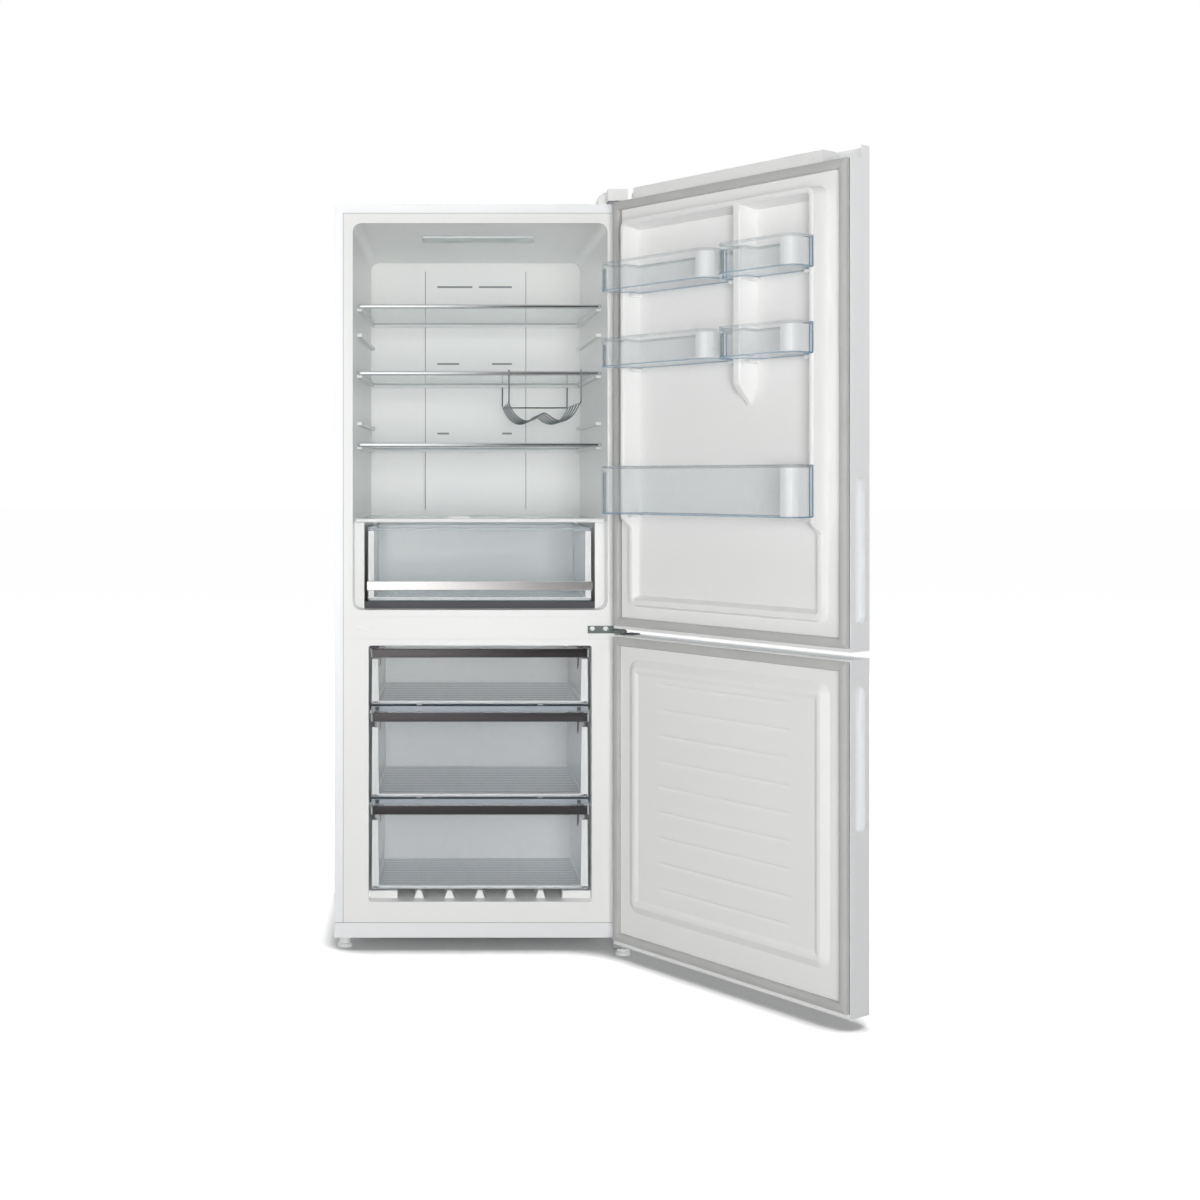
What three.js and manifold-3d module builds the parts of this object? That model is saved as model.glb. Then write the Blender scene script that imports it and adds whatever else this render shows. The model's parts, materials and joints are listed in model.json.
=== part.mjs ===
// A free-standing bottom freezer refrigerator, both doors open, as an assembly of separate pieces.
// Millimetres, +Z up. While it is built, X = 0 is the cabinet's middle, Y = 0 its front face (the
// front looks along -Y) and Z = 0 the floor. Doors are built shut and then turned about their hinges.
import * as THREE from "three";
import { mergeVertices } from "three/addons/utils/BufferGeometryUtils.js";
import Module from "manifold-3d";

const wasm = await Module();
wasm.setup();

// ---------------------------------------------------------------- driving dimensions
const GAP = 0.3; // between pieces that seat on each other
const RUN = 2; // running clearance beside a piece that slides or turns

const CABINET_WIDTH = 700;
const CABINET_DEPTH = 625;
const CABINET_TOP = 1790;
const CABINET_BOTTOM = 30;
const STEEL = 1.2; // painted outer sheet
const FLANGE_WIDTH = 21; // steel return around the front
const LINER = 1.5; // vacuum formed inner sheet
const BASE_PLATE = 2;
const PLINTH_HEIGHT = 36;

const SIDE_WALL = 44; // insulated walls around the fresh food space, at its front
const ROOF_WALL = 45;
const FRIDGE_BACK_WALL = 53;
const FRIDGE_SIDE_DRAFT = 19; // how far each side wall leans in by the back
const FRIDGE_CEILING_DRAFT = 21;
const FRIDGE_RADIUS = 20;

const FREEZER_SIDE_WALL = 82; // and around the freezer
const FREEZER_BACK_WALL = 115;
const BAY_WALL = 60; // between the freezer's shallower lower part and the machine bay
const SILL = 50; // from the plinth up to the freezer's floor
const FREEZER_SIDE_DRAFT = 6;
const FREEZER_RADIUS = 6;

const MULLION_BOTTOM = 746; // painted bar between the two compartments
const MULLION_HEIGHT = 54;
const LOWER_LIP = 15; // liner edges below and above it
const UPPER_LIP = 16;
const BAY_HEIGHT = 240; // machine bay behind the freezer, at the bottom
const BAY_DEPTH = 213;

const SHELF_PLACES = [0.7361, 0.5055, 0.2584]; // on the way from the crisper cover to the ceiling
const SPARE_RAIL_PLACES = [0.6446, 0.3382]; // top of the rails that no shelf lies on
const GLASS = 4;
const SHELF_FRONT = 106;
const SHELF_BACK_CLEARANCE = 16;
const SHELF_SIDE_CLEARANCE = 1.3; // between a glass and the tapering wall
const TRIM_HEIGHT = 10;
const TRIM_DEPTH = 10;
const TRIM_GRIP = 6; // how far a trim reaches over its glass
const RAIL_WIDTH = 12; // moulded ledge that carries a shelf
const RAIL_HEIGHT = 8;
const RAIL_FRONT = 125;
const COVER_RISE = 214.3; // from the floor up to the middle of the glass over the crisper
const COVER_FRONT = 36;
const SLIDER_WIDTH = 52; // humidity slider on the crisper cover
const SLIDER_X = -50;
const SLIDER_HEIGHT = 5.5;

const PILLAR_WIDTH = 25; // extra thickness of the walls beside the crisper
const PILLAR_FRONT = 60;
const CRISPER_CLEARANCE = 7;
const CRISPER_FRONT = 52;
const CRISPER_BACK_CLEARANCE = 27;
const CRISPER_DRAFT = 5;
const CRISPER_HEIGHT = 180;
const CRISPER_HANDLE_RISE = 28; // handle band above the drawer's underside
const CRISPER_HANDLE_HEIGHT = 22;
const RUNNER_HEIGHT = 15.7; // dark frame that the crisper runs on
const RUNNER_RAIL = 20;
const RUNNER_PLATE = 4;
const RUNNER_BAR = 6;
const DRAWER_WALL = 3;
const BAND_DEPTH = 6; // metal bands on the drawer fronts

const DRAWER_CLEARANCE = 4; // beside the freezer drawers' fronts
const DRAWER_BODY_INSET = 8;
const DRAWER_DRAFT = 11;
const DRAWER_FRONT = 30;
const DRAWER_BACK_CLEARANCE = 12;
const DRAWER_LIP = 12; // how far a drawer's front stands above its sides
const DRAWER_TRIM_HEIGHT = 20.5;
const SKID_HEIGHT = 4.7;
const SKID_WIDTH = 12;
const TOP_DRAWER_ROOM = 11; // between the top drawer and the ceiling
const MIDDLE_DRAWER_HEIGHT = 203.8;
const LOW_DRAWER_HEIGHT = 201.5;
const FREEZER_SHELF = 13;
const FREEZER_SHELF_RIM = 14; // at its sides, and less at its front and back
const FREEZER_SHELF_END = 10;
const FREEZER_SHELF_SKIN = 5;
const LEDGE_WIDTH = 8;
const FLOOR_RIB_HEIGHT = 18;
const FLOOR_RIB_PITCH = 73.6;
const FLOOR_RIB_FOOT = 24; // width at the floor
const FLOOR_RIB_TOP = 10;
const FLOOR_RIBS = 5;
const FLOOR_SHOULDER = 64; // raised floor at each side of the ribs

const DUCT_HALF = 137; // air duct cover on the back wall
const DUCT_THICK = 6;
const DUCT_LIFT = 14.7; // above the crisper cover
const DUCT_DROP = 40; // below the ceiling
const OUTLET_HEIGHT = 5;
const OUTLET_LEFT = 105; // ends of the outlets, from the duct's middle
const OUTLET_RIGHT = 99.5;
const OUTLET_MIDDLES = [9, 45, 73];
const OUTLET_DROPS = [47, 258, 449]; // from the duct cover's top
const VENT_DROP = 510;
const VENT_WIDTH = 52;
const VENT_HEIGHT = 18;
const LIGHT_HALF = 139.5;
const LIGHT_FRONT = 167;
const LIGHT_BACK = 247;
const LIGHT_THICK = 4;

const EVAPORATOR_ROOM = 58; // from the freezer's back wall to the front of the inner panel
const PANEL_THICK = 3;
const PANEL_EDGE = 10;
const LOUVRE_PITCH = 16;
const LOUVRE_HEIGHT = 8;
const RETURN_PITCH = 84;
const RETURN_LENGTH = 64;
const RETURN_RISE = 14;
const COIL_INSET = 43; // from the freezer's side walls to the evaporator
const COIL_FRONT_ROOM = 12;
const COIL_BOTTOM_ROOM = 30;
const COIL_TOP_ROOM = 25;
const FIN_DEPTH = 24;
const FINS = 12;
const FAN_RADIUS = 45;
const FAN_DROP = 71; // from the freezer's ceiling to the fan's axis
const FAN_HUB = 12;
const BLADE_THICK = 2;
const BLADE_DEPTH = 24;
const MOTOR_RADIUS = 24;
const MOTOR_DEPTH = 22;
const SHAFT_RADIUS = 2.5;
const SHAFT_LENGTH = 20;
const SHAFT_REACH = 36; // from the freezer's back wall to its tip
const FAN_OFFSET = 10; // from the motor's face to the fan's middle

const DOOR_THICK = 72; // from the cabinet's front face to the outer skin
const SEAL_SPACE = 12; // room for the gasket in front of the cabinet
const DOOR_OPEN = 127.5; // degrees, as the doors stand
const PIVOT_INSET = 11; // from the cabinet's side
const PIVOT_Y = -30.5;
const PIN_RADIUS = 5;
const PIN_REACH = 20; // how far a hinge pin goes into its door
const DOOR_TOP_DROP = 0.2; // door below the cabinet's top
const HOUSING_RISE = 27.2; // raised housing along the fridge door's top
const HOUSING_INSET_LEFT = 78;
const HOUSING_INSET_RIGHT = 60;
const HOUSING_BACK = 18;
const HOUSING_SIDE = 26; // strip of the skin's free side that is as high as the housing
const DOOR_OVERLAP = 14.4; // how far the freezer door covers the mullion
const DOOR_SPACE = 15; // between the two doors
const DOOR_SKIRT = 5.5; // how far the freezer door hangs below the cabinet
const CAP_PLATE = 3.5;
const GASKET_EDGE = 4; // door edge outside the gasket
const GASKET_WIDTH = 20;
const FRIDGE_SEAL_INSETS = [8.1, 2.8]; // from the door's lower and upper edge to the gasket
const FREEZER_SEAL_INSETS = [11.5, 4.4];
const GRIP_DEPTH = 13;
const GRIP_FRONT_INSET = 14; // from the outer skin to the finger grip
const GRIP_WIDTH = 30;
const GRIP_INSETS = [57.6, 56.4]; // from the edges where the doors meet, upper door first
const GRIP_LENGTH = 300;

const DYKE_INSET = 14; // from the fridge's side wall to the raised rim inside its door
const DYKE_FLOOR_INSET = 15;
const DYKE_CEILING_INSET = 5;
const DYKE_RISE = 30; // past the cabinet's front face
const DYKE_LOW = 2; // past the cabinet's front face, at the bottom of the door
const DYKE_STEP_DROP = 18.3; // below the crisper cover, where the rim is low
const DYKE_STEP_RUN = 32;
const DYKE_RADIUS = 22;
const DYKE_FOOT = 28; // width of the rim at its foot
const RIB_X = -75;
const RIB_TOP_HALF = 10;
const RIB_BASE_HALF = 22;
const RIB_END = 0.219; // its lower end, on the way from the wide bin's top to the rim's top
const RIB_RAMP = 54;
const RIB_TOP_INSET = 12; // under the rim's crest
const PLATEAU_INSET = 52; // from the door's sides to the raised field inside the freezer door
const PLATEAU_LIFT = 75; // from the gasket's lower and upper edge to that field
const PLATEAU_DROP = 47;
const PLATEAU_RADIUS = 20;
const PLATEAU_SIDE_SLOPE = 28;
const PLATEAU_END_SLOPE = 8;
const PLATEAU_RISE = 10;
const PLATEAU_RIM = 9;
const PLATEAU_SINK = 4;
const GROOVES = 9; // level grooves in its sunk middle
const GROOVE_PITCH = 58.8;
const GROOVE_DROP = 50; // from the field's upper edge to the first groove
const GROOVE_HALF = 205;
const GROOVE_WIDTH = 3;
const GROOVE_DEPTH = 3;

const BIN_CLEARANCE = 7.5; // from a shut door's bins to the shelf trims
const BIN_INSET = 2; // bins inside the rim's outer edge
const BIN_WALL = 2.5;
const BIN_CORNER = 25;
const SMALL_BIN_HEIGHT = 66;
const LARGE_BIN_HEIGHT = 110;
const LARGE_BIN_LIFT = 234; // from the fridge's floor to the wide bin
const SMALL_BIN_PLACES = [0.6948, 0.7, 0.394, 0.394]; // on the way from its top to the rim's top
const BIN_SPLIT = 23; // between the two bins of a pair
const LUG_HEIGHT = 8;
const LUG_LENGTH = 14;
const LUG_REACH = 6; // of it, past the bin's narrow back part
const LUG_RISE = 20;

const RACK_X = 162; // bottle rack under the middle shelf
const RACK_WIDTH = 178;
const RACK_DROP = 72; // frame below the shelf's middle
const RACK_SLOPE = 0.014; // rise towards the back
const CRADLE_DROP = 45;
const CRADLE_WIRES = 5;
const CRADLE_MARGIN = 34; // from the frame's ends to the first and the last wire
const WIRE = 4;

const FOOT_RADIUS = 18;
const FOOT_HUB_RADIUS = 14;
const FOOT_PAD = 7;
const FOOT_HUB_TOP = 23.5;
const FOOT_SCREW_RADIUS = 5;
const FOOT_INSET = 23;
const FOOT_Y = 40;
const HINGE_PLATE = 4.7;
const ARM_CLEARANCE = 0.8; // from the bottom hinge's tongue to the freezer door
const ROLLER_RADIUS = 16;
const ROLLER_WIDTH = 18;
const ROLLER_INSET = 50;
const ROLLER_BACK_INSET = 35;
const FORK_HALF = 12;
const FORK_CHEEK = 3;
const FORK_DROP = 6; // how far a fork reaches below its axle
const AXLE_RADIUS = 3;

const COMPRESSOR_X = -120;
const COMPRESSOR_RADIUS = 82;
const COMPRESSOR_HEIGHT = 185;
const COMPRESSOR_FOOT = 14; // narrower part at its bottom, and its height
const COMPRESSOR_SKIRT = 30;
const COMPRESSOR_SHOULDER = 50; // below its top
const COMPRESSOR_CROWN = 18;
const PAN_LENGTH = 160;
const PAN_HEIGHT = 30;
const PAN_WALL = 3;
const PAN_FRONT_ROOM = 12;
const PAN_BACK_ROOM = 20;
const INLET_INSET = 70; // mains inlet in the rear cover, from the cabinet's side
const INLET_LIFT = 120; // above the cabinet's bottom
const INLET_WIDTH = 48;
const INLET_HEIGHT = 38;
const INLET_DEPTH = 26;
const INLET_FLANGE = 5;
const INLET_MOUTH = 13;
const INLET_SOCKET = 18; // depth of its mouth
const INLET_ROOT = 3.2; // of a contact, in the body
const INLET_PIN = 2;
const INLET_PIN_PITCH = 6;
const VENT_ROWS = 6; // louvres in the rear cover
const VENT_COLUMNS = 3;
const VENT_PITCH = 28;
const VENT_STEP = 150;
const VENT_LENGTH = 120;
const VENT_LIFT = 40;
const VENT_X = -215;

// ---------------------------------------------------------------- worked out from them
const HALF = CABINET_WIDTH / 2;
const INNER_HALF = HALF - STEEL - GAP;
const FACE_HALF = HALF - FLANGE_WIDTH - GAP; // pieces set between the steel returns
const PLINTH_TOP = CABINET_BOTTOM + PLINTH_HEIGHT;
const FOAM_FRONT = LINER + GAP;
const BACK_PANEL_Y = CABINET_DEPTH - STEEL;
const BAY_FRONT = CABINET_DEPTH - BAY_DEPTH;
const BAY_TOP = CABINET_BOTTOM + BAY_HEIGHT;
const MULLION_TOP = MULLION_BOTTOM + MULLION_HEIGHT;
const FRIDGE_HALF = HALF - SIDE_WALL;
const FRIDGE_FLOOR = MULLION_TOP + UPPER_LIP;
const FRIDGE_CEILING = CABINET_TOP - ROOF_WALL;
const FRIDGE_DEPTH = CABINET_DEPTH - FRIDGE_BACK_WALL;
const FREEZER_HALF = HALF - FREEZER_SIDE_WALL;
const FREEZER_FLOOR = PLINTH_TOP + SILL;
const FREEZER_CEILING = MULLION_BOTTOM - LOWER_LIP;
const FREEZER_DEPTH = CABINET_DEPTH - FREEZER_BACK_WALL;
const FREEZER_STEP_DEPTH = BAY_FRONT - BAY_WALL;
const BACK_FRAME = FREEZER_DEPTH - EVAPORATOR_ROOM; // front of the evaporator cover
const FAN_Z = FREEZER_CEILING - FAN_DROP;
const COVER_HEIGHT = FRIDGE_FLOOR + COVER_RISE;
const SHELF_ROOM = FRIDGE_CEILING - COVER_HEIGHT;
const SHELF_HEIGHTS = SHELF_PLACES.map((place) => COVER_HEIGHT + place * SHELF_ROOM);
const SPARE_RAILS = SPARE_RAIL_PLACES.map((place) => COVER_HEIGHT + place * SHELF_ROOM);
const SHELF_BACK = FRIDGE_DEPTH - SHELF_BACK_CLEARANCE;
const COVER_BOTTOM = COVER_HEIGHT - GLASS / 2;
const PILLAR_HALF = FRIDGE_HALF - PILLAR_WIDTH;
const CRISPER_HALF = PILLAR_HALF - CRISPER_CLEARANCE;
const CRISPER_BACK = FRIDGE_DEPTH - CRISPER_BACK_CLEARANCE;
const CRISPER_BOTTOM = FRIDGE_FLOOR + GAP + RUNNER_HEIGHT + GAP;
const DUCT_BOTTOM = COVER_HEIGHT + DUCT_LIFT;
const DUCT_TOP = FRIDGE_CEILING - DUCT_DROP;
const DRAWER_HALF = FREEZER_HALF - DRAWER_CLEARANCE; // freezer drawer fronts
const DRAWER_BODY_HALF = DRAWER_HALF - DRAWER_BODY_INSET;
const DRAWER_BACK_HALF = DRAWER_BODY_HALF - DRAWER_DRAFT;
const DRAWER_BACK = BACK_FRAME - DRAWER_BACK_CLEARANCE;
const LOW_DRAWER_BACK = FREEZER_STEP_DEPTH - DRAWER_BACK_CLEARANCE;
const SKID_X = 2 * FLOOR_RIB_PITCH;
const LOW_DRAWER_BOTTOM = FREEZER_FLOOR + FLOOR_RIB_HEIGHT + GAP + SKID_HEIGHT;
const LOW_SHELF_BOTTOM = LOW_DRAWER_BOTTOM + LOW_DRAWER_HEIGHT + RUN + 0.7;
const MIDDLE_DRAWER_BOTTOM = LOW_SHELF_BOTTOM + FREEZER_SHELF + GAP + SKID_HEIGHT;
const HIGH_SHELF_BOTTOM = MIDDLE_DRAWER_BOTTOM + MIDDLE_DRAWER_HEIGHT + RUN + 1;
const TOP_DRAWER_BOTTOM = HIGH_SHELF_BOTTOM + FREEZER_SHELF + GAP + SKID_HEIGHT;
const TOP_DRAWER_HEIGHT = FREEZER_CEILING - TOP_DRAWER_ROOM - TOP_DRAWER_BOTTOM;
const FREEZER_STEP_TOP = LOW_SHELF_BOTTOM - FREEZER_RADIUS - 1;
const DOOR_BACK = -SEAL_SPACE; // face of a door's liner when shut
const PIVOT_X = HALF - PIVOT_INSET;
const DOOR_SLAB_TOP = CABINET_TOP - DOOR_TOP_DROP; // door without its raised housing
const FRIDGE_DOOR_TOP = DOOR_SLAB_TOP + HOUSING_RISE;
const FREEZER_DOOR_TOP = MULLION_BOTTOM + DOOR_OVERLAP;
const FRIDGE_DOOR_BOTTOM = FREEZER_DOOR_TOP + DOOR_SPACE;
const FREEZER_DOOR_BOTTOM = CABINET_BOTTOM - DOOR_SKIRT;
const FRIDGE_GASKET_BOTTOM = FRIDGE_DOOR_BOTTOM + FRIDGE_SEAL_INSETS[0];
const FRIDGE_GASKET_TOP = DOOR_SLAB_TOP - FRIDGE_SEAL_INSETS[1];
const FREEZER_GASKET_BOTTOM = FREEZER_DOOR_BOTTOM + FREEZER_SEAL_INSETS[0];
const FREEZER_GASKET_TOP = FREEZER_DOOR_TOP - FREEZER_SEAL_INSETS[1];
const GRIP_FRONT = DOOR_THICK - GRIP_FRONT_INSET; // from the cabinet's front face, outwards
const GRIP_BACK = GRIP_FRONT - GRIP_WIDTH;
const FRIDGE_GRIP_BOTTOM = FRIDGE_DOOR_BOTTOM + GRIP_INSETS[0];
const FREEZER_GRIP_BOTTOM = FREEZER_DOOR_TOP - GRIP_INSETS[1] - GRIP_LENGTH;
const HOUSING_LEFT = HOUSING_INSET_LEFT - HALF;
const HOUSING_RIGHT = HALF - HOUSING_INSET_RIGHT;
const DYKE_HALF = FRIDGE_HALF - DYKE_INSET;
const DYKE_BOTTOM = FRIDGE_FLOOR + DYKE_FLOOR_INSET;
const DYKE_TOP = FRIDGE_CEILING - DYKE_CEILING_INSET;
const DYKE_STEP = COVER_HEIGHT - DYKE_STEP_DROP; // below this height the rim is low
const PLATEAU_HALF = HALF - PLATEAU_INSET;
const PLATEAU_BOTTOM = FREEZER_GASKET_BOTTOM + PLATEAU_LIFT;
const PLATEAU_TOP = FREEZER_GASKET_TOP - PLATEAU_DROP;
const BIN_HALF = DYKE_HALF - BIN_INSET;
const BIN_FRONT = SHELF_FRONT - BIN_CLEARANCE; // past the cabinet's front face, door shut
const BIN_BACK = DOOR_BACK + GAP;
const LARGE_BIN_BOTTOM = FRIDGE_FLOOR + LARGE_BIN_LIFT;
const LARGE_BIN_TOP = LARGE_BIN_BOTTOM + LARGE_BIN_HEIGHT;
const BIN_ROOM = DYKE_TOP - LARGE_BIN_TOP;
const SMALL_BIN_BOTTOMS = SMALL_BIN_PLACES.map((place) => LARGE_BIN_TOP + place * BIN_ROOM);
const BIN_BOTTOMS = [...SMALL_BIN_BOTTOMS, LARGE_BIN_BOTTOM];
const RIB_BOTTOM = LARGE_BIN_TOP + RIB_END * BIN_ROOM;
const WIDE_BIN = BIN_BOTTOMS.length - 1;
const BIN_SPLIT_LEFT = RIB_X;
const BIN_SPLIT_RIGHT = RIB_X + BIN_SPLIT;
const BIN_NECK_HALF = DYKE_HALF - DYKE_FOOT - RUN; // the part between the rims
const HINGE_ARM_TOP = FREEZER_DOOR_BOTTOM - ARM_CLEARANCE; // tongue under the freezer door
const FOOT_SEAT = HINGE_ARM_TOP - HINGE_PLATE - GAP;
const FOOT_X = FOOT_INSET - HALF;
const ROLLER_SPAN = HALF - ROLLER_INSET;
const ROLLER_Y = CABINET_DEPTH - ROLLER_BACK_INSET;
const INLET_X = INLET_INSET - HALF;
const INLET_Z = CABINET_BOTTOM + INLET_LIFT;

// ---------------------------------------------------------------- solids
const MATERIALS = {
  paint: { color: 0xf4f6f8, roughness: 0.35, metalness: 0 },
  liner: { color: 0xf3f3f1, roughness: 0.4, metalness: 0 },
  foam: { color: 0xe9e2c8, roughness: 0.9, metalness: 0 },
  zinc: { color: 0xb9bcbf, roughness: 0.45, metalness: 0.9 },
  chrome: { color: 0xc8c8ca, roughness: 0.15, metalness: 1 },
  glass: { color: 0xdfe8ea, roughness: 0.05, metalness: 0, transparent: true, opacity: 0.35 },
  clear: { color: 0xd3e0e8, roughness: 0.1, metalness: 0, transparent: true, opacity: 0.4 },
  gasket: { color: 0xacaca9, roughness: 0.7, metalness: 0 },
  dark: { color: 0x26282c, roughness: 0.5, metalness: 0 },
  grey: { color: 0x8d9194, roughness: 0.5, metalness: 0 },
  aluminium: { color: 0xc4c8ca, roughness: 0.4, metalness: 0.9 },
  black: { color: 0x18191a, roughness: 0.45, metalness: 0.2 },
};

// A closed geometry as a solid that can be joined and cut.
function solid(geometry) {
  const bare = geometry.index ? geometry.toNonIndexed() : geometry.clone();
  bare.deleteAttribute("normal");
  bare.deleteAttribute("uv");
  const merged = mergeVertices(bare, 1e-4);
  return new wasm.Manifold(
    new wasm.Mesh({
      numProp: 3,
      vertProperties: new Float32Array(merged.attributes.position.array),
      triVerts: new Uint32Array(merged.index.array),
    }),
  );
}

function piece(name, material, shape) {
  const { numProp, vertProperties, triVerts } = shape.getMesh();
  if (numProp !== 3) throw new Error(name + " carries more than positions");
  const geometry = new THREE.BufferGeometry();
  geometry.setAttribute("position", new THREE.BufferAttribute(new Float32Array(vertProperties), 3));
  geometry.setIndex(new THREE.BufferAttribute(new Uint32Array(triVerts), 1));
  geometry.computeVertexNormals();
  const mesh = new THREE.Mesh(geometry, new THREE.MeshStandardMaterial(MATERIALS[material]));
  mesh.name = name;
  return mesh;
}

// A box between two corners, given as [low, high] along each axis.
function block([x0, x1], [y0, y1], [z0, z1]) {
  const box = new THREE.BoxGeometry(x1 - x0, y1 - y0, z1 - z0);
  return solid(box.translate((x0 + x1) / 2, (y0 + y1) / 2, (z0 + z1) / 2));
}

function outline(points) {
  return new THREE.Shape(points.map(([a, b]) => new THREE.Vector2(a, b)));
}

// An XY outline raised from z0 to z1.
function raised(shape, z0, z1, curveSegments = 4) {
  const g = new THREE.ExtrudeGeometry(shape, { depth: z1 - z0, bevelEnabled: false, curveSegments });
  return solid(g.translate(0, 0, z0));
}

// A YZ outline carried along X from x0 to x1.
function across(points, x0, x1) {
  const g = new THREE.ExtrudeGeometry(outline(points), { depth: x1 - x0, bevelEnabled: false });
  const axes = [new THREE.Vector3(0, 1, 0), new THREE.Vector3(0, 0, 1), new THREE.Vector3(1, 0, 0)];
  return solid(g.applyMatrix4(new THREE.Matrix4().makeBasis(...axes)).translate(x0, 0, 0));
}

// An XZ outline carried along Y from y0 to y1.
function inwards(points, y0, y1) {
  const g = new THREE.ExtrudeGeometry(outline(points), { depth: y1 - y0, bevelEnabled: false });
  return solid(g.rotateX(Math.PI / 2).translate(0, y1, 0));
}

// A cylinder of radius r centred on point, along the axis x, y or z.
function rod(axis, r, [x, y, z], length, sides = 12) {
  const g = new THREE.CylinderGeometry(r, r, length, sides);
  if (axis === "x") g.rotateZ(Math.PI / 2);
  if (axis === "z") g.rotateX(Math.PI / 2);
  return solid(g.translate(x, y, z));
}

// A straight wire of six sides from one point to another.
function wire(from, to, r = WIRE / 2) {
  const a = new THREE.Vector3(...from);
  const b = new THREE.Vector3(...to);
  const along = b.clone().sub(a);
  const g = new THREE.CylinderGeometry(r, r, along.length(), 6);
  const up = new THREE.Vector3(0, 1, 0);
  g.applyQuaternion(new THREE.Quaternion().setFromUnitVectors(up, along.normalize()));
  return solid(g.translate(...a.add(b).multiplyScalar(0.5).toArray()));
}

function joined(shapes) {
  return shapes.reduce((all, next) => all.add(next));
}

// Points around a rounded rectangle in X and Z, four to a corner, anticlockwise seen from the front.
function roundedRectangle(half, z0, z1, radius) {
  const corners = [
    [half - radius, z0 + radius, -90],
    [half - radius, z1 - radius, 0],
    [-half + radius, z1 - radius, 90],
    [-half + radius, z0 + radius, 180],
  ];
  const steps = [0, 30, 60, 90];
  return corners.flatMap(([x, z, start]) =>
    steps.map((step) => {
      const angle = THREE.MathUtils.degToRad(start + step);
      return [x + radius * Math.cos(angle), z + radius * Math.sin(angle)];
    }),
  );
}

// Rings of equal point counts as one closed surface: capped at both ends, or closed on itself.
function skinned(rings, closed) {
  const count = rings[0].length;
  const vertices = rings.flat(2);
  const faces = [];
  const last = closed ? rings.length : rings.length - 1;
  for (let i = 0; i < last; i++) {
    const next = ((i + 1) % rings.length) * count;
    for (let k = 0; k < count; k++) {
      const m = (k + 1) % count;
      const here = i * count;
      faces.push(here + k, next + m, here + m, here + k, next + k, next + m);
    }
  }
  if (!closed) {
    const end = (rings.length - 1) * count;
    for (let k = 1; k < count - 1; k++) faces.push(0, k, k + 1, end, end + k + 1, end + k);
  }
  const geometry = new THREE.BufferGeometry();
  geometry.setAttribute("position", new THREE.Float32BufferAttribute(vertices, 3));
  geometry.setIndex(faces);
  return solid(geometry);
}

// A solid through rounded rectangles: each section is [y, half width, z0, z1, radius].
function loft(sections) {
  return skinned(
    sections.map(([y, half, z0, z1, radius]) =>
      roundedRectangle(half, z0, z1, radius).map(([x, z]) => [x, y, z]),
    ),
    false,
  );
}

// A profile of [inset, y] points carried round a rounded rectangle as a closed frame.
function frame(profile, half, z0, z1, radius) {
  return skinned(
    profile.map(([inset, y]) =>
      roundedRectangle(half - inset, z0 + inset, z1 - inset, Math.max(radius - inset, 0.5)).map(
        ([x, z]) => [x, y, z],
      ),
    ),
    true,
  );
}

// ---------------------------------------------------------------- cavities
// The fresh food space, drawn in (or out, where inset is negative) by inset on every side.
function fridgeSpace(inset, front, extraDepth = 0) {
  const slope = (share) => [
    FRIDGE_HALF - inset - FRIDGE_SIDE_DRAFT * share,
    FRIDGE_FLOOR + inset,
    FRIDGE_CEILING - inset - FRIDGE_CEILING_DRAFT * share,
    FRIDGE_RADIUS - inset,
  ];
  return loft([
    [front, ...slope(front / FRIDGE_DEPTH)],
    [FRIDGE_DEPTH + extraDepth, ...slope((FRIDGE_DEPTH + extraDepth) / FRIDGE_DEPTH)],
  ]);
}

// The same space without the two thick walls beside the crisper, grown by wall.
function fridgeRoom(wall, front) {
  let room = fridgeSpace(-wall, front, wall);
  for (const side of [-1, 1]) {
    const x = [side * (PILLAR_HALF + wall), side * HALF].sort((a, b) => a - b);
    const z = [FRIDGE_FLOOR - 2 * LINER, COVER_BOTTOM - GAP - wall];
    room = room.subtract(block(x, [PILLAR_FRONT + wall, CABINET_DEPTH], z));
  }
  return room;
}

function fridgeWall(y) {
  return FRIDGE_HALF - (FRIDGE_SIDE_DRAFT * y) / FRIDGE_DEPTH;
}

function freezerWall(y) {
  return FREEZER_HALF - (FREEZER_SIDE_DRAFT * y) / FREEZER_DEPTH;
}

// The freezer space: a deep upper part over a shallower lower part, grown by wall.
function freezerSpace(wall, front) {
  const section = (y, z0) => [
    y,
    freezerWall(y) + wall,
    z0 - wall,
    FREEZER_CEILING + wall,
    FREEZER_RADIUS + wall,
  ];
  const upper = [section(front, FREEZER_STEP_TOP), section(FREEZER_DEPTH + wall, FREEZER_STEP_TOP)];
  const lower = [section(front, FREEZER_FLOOR), section(FREEZER_STEP_DEPTH + wall, FREEZER_FLOOR)];
  return loft(upper).add(loft(lower));
}

// ---------------------------------------------------------------- cabinet
function cabinetShell() {
  const outer = block([-HALF, HALF], [0, CABINET_DEPTH], [CABINET_BOTTOM, CABINET_TOP]);
  const inside = [STEEL - HALF, HALF - STEEL];
  const room = block(inside, [STEEL, CABINET_DEPTH + 1], [CABINET_BOTTOM - 1, CABINET_TOP - STEEL]);
  const returns = [FLANGE_WIDTH - HALF, HALF - FLANGE_WIDTH];
  const front = block(returns, [-1, STEEL + 1], [CABINET_BOTTOM - 1, CABINET_TOP - FLANGE_WIDTH]);
  return outer.subtract(room).subtract(front);
}

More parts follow.
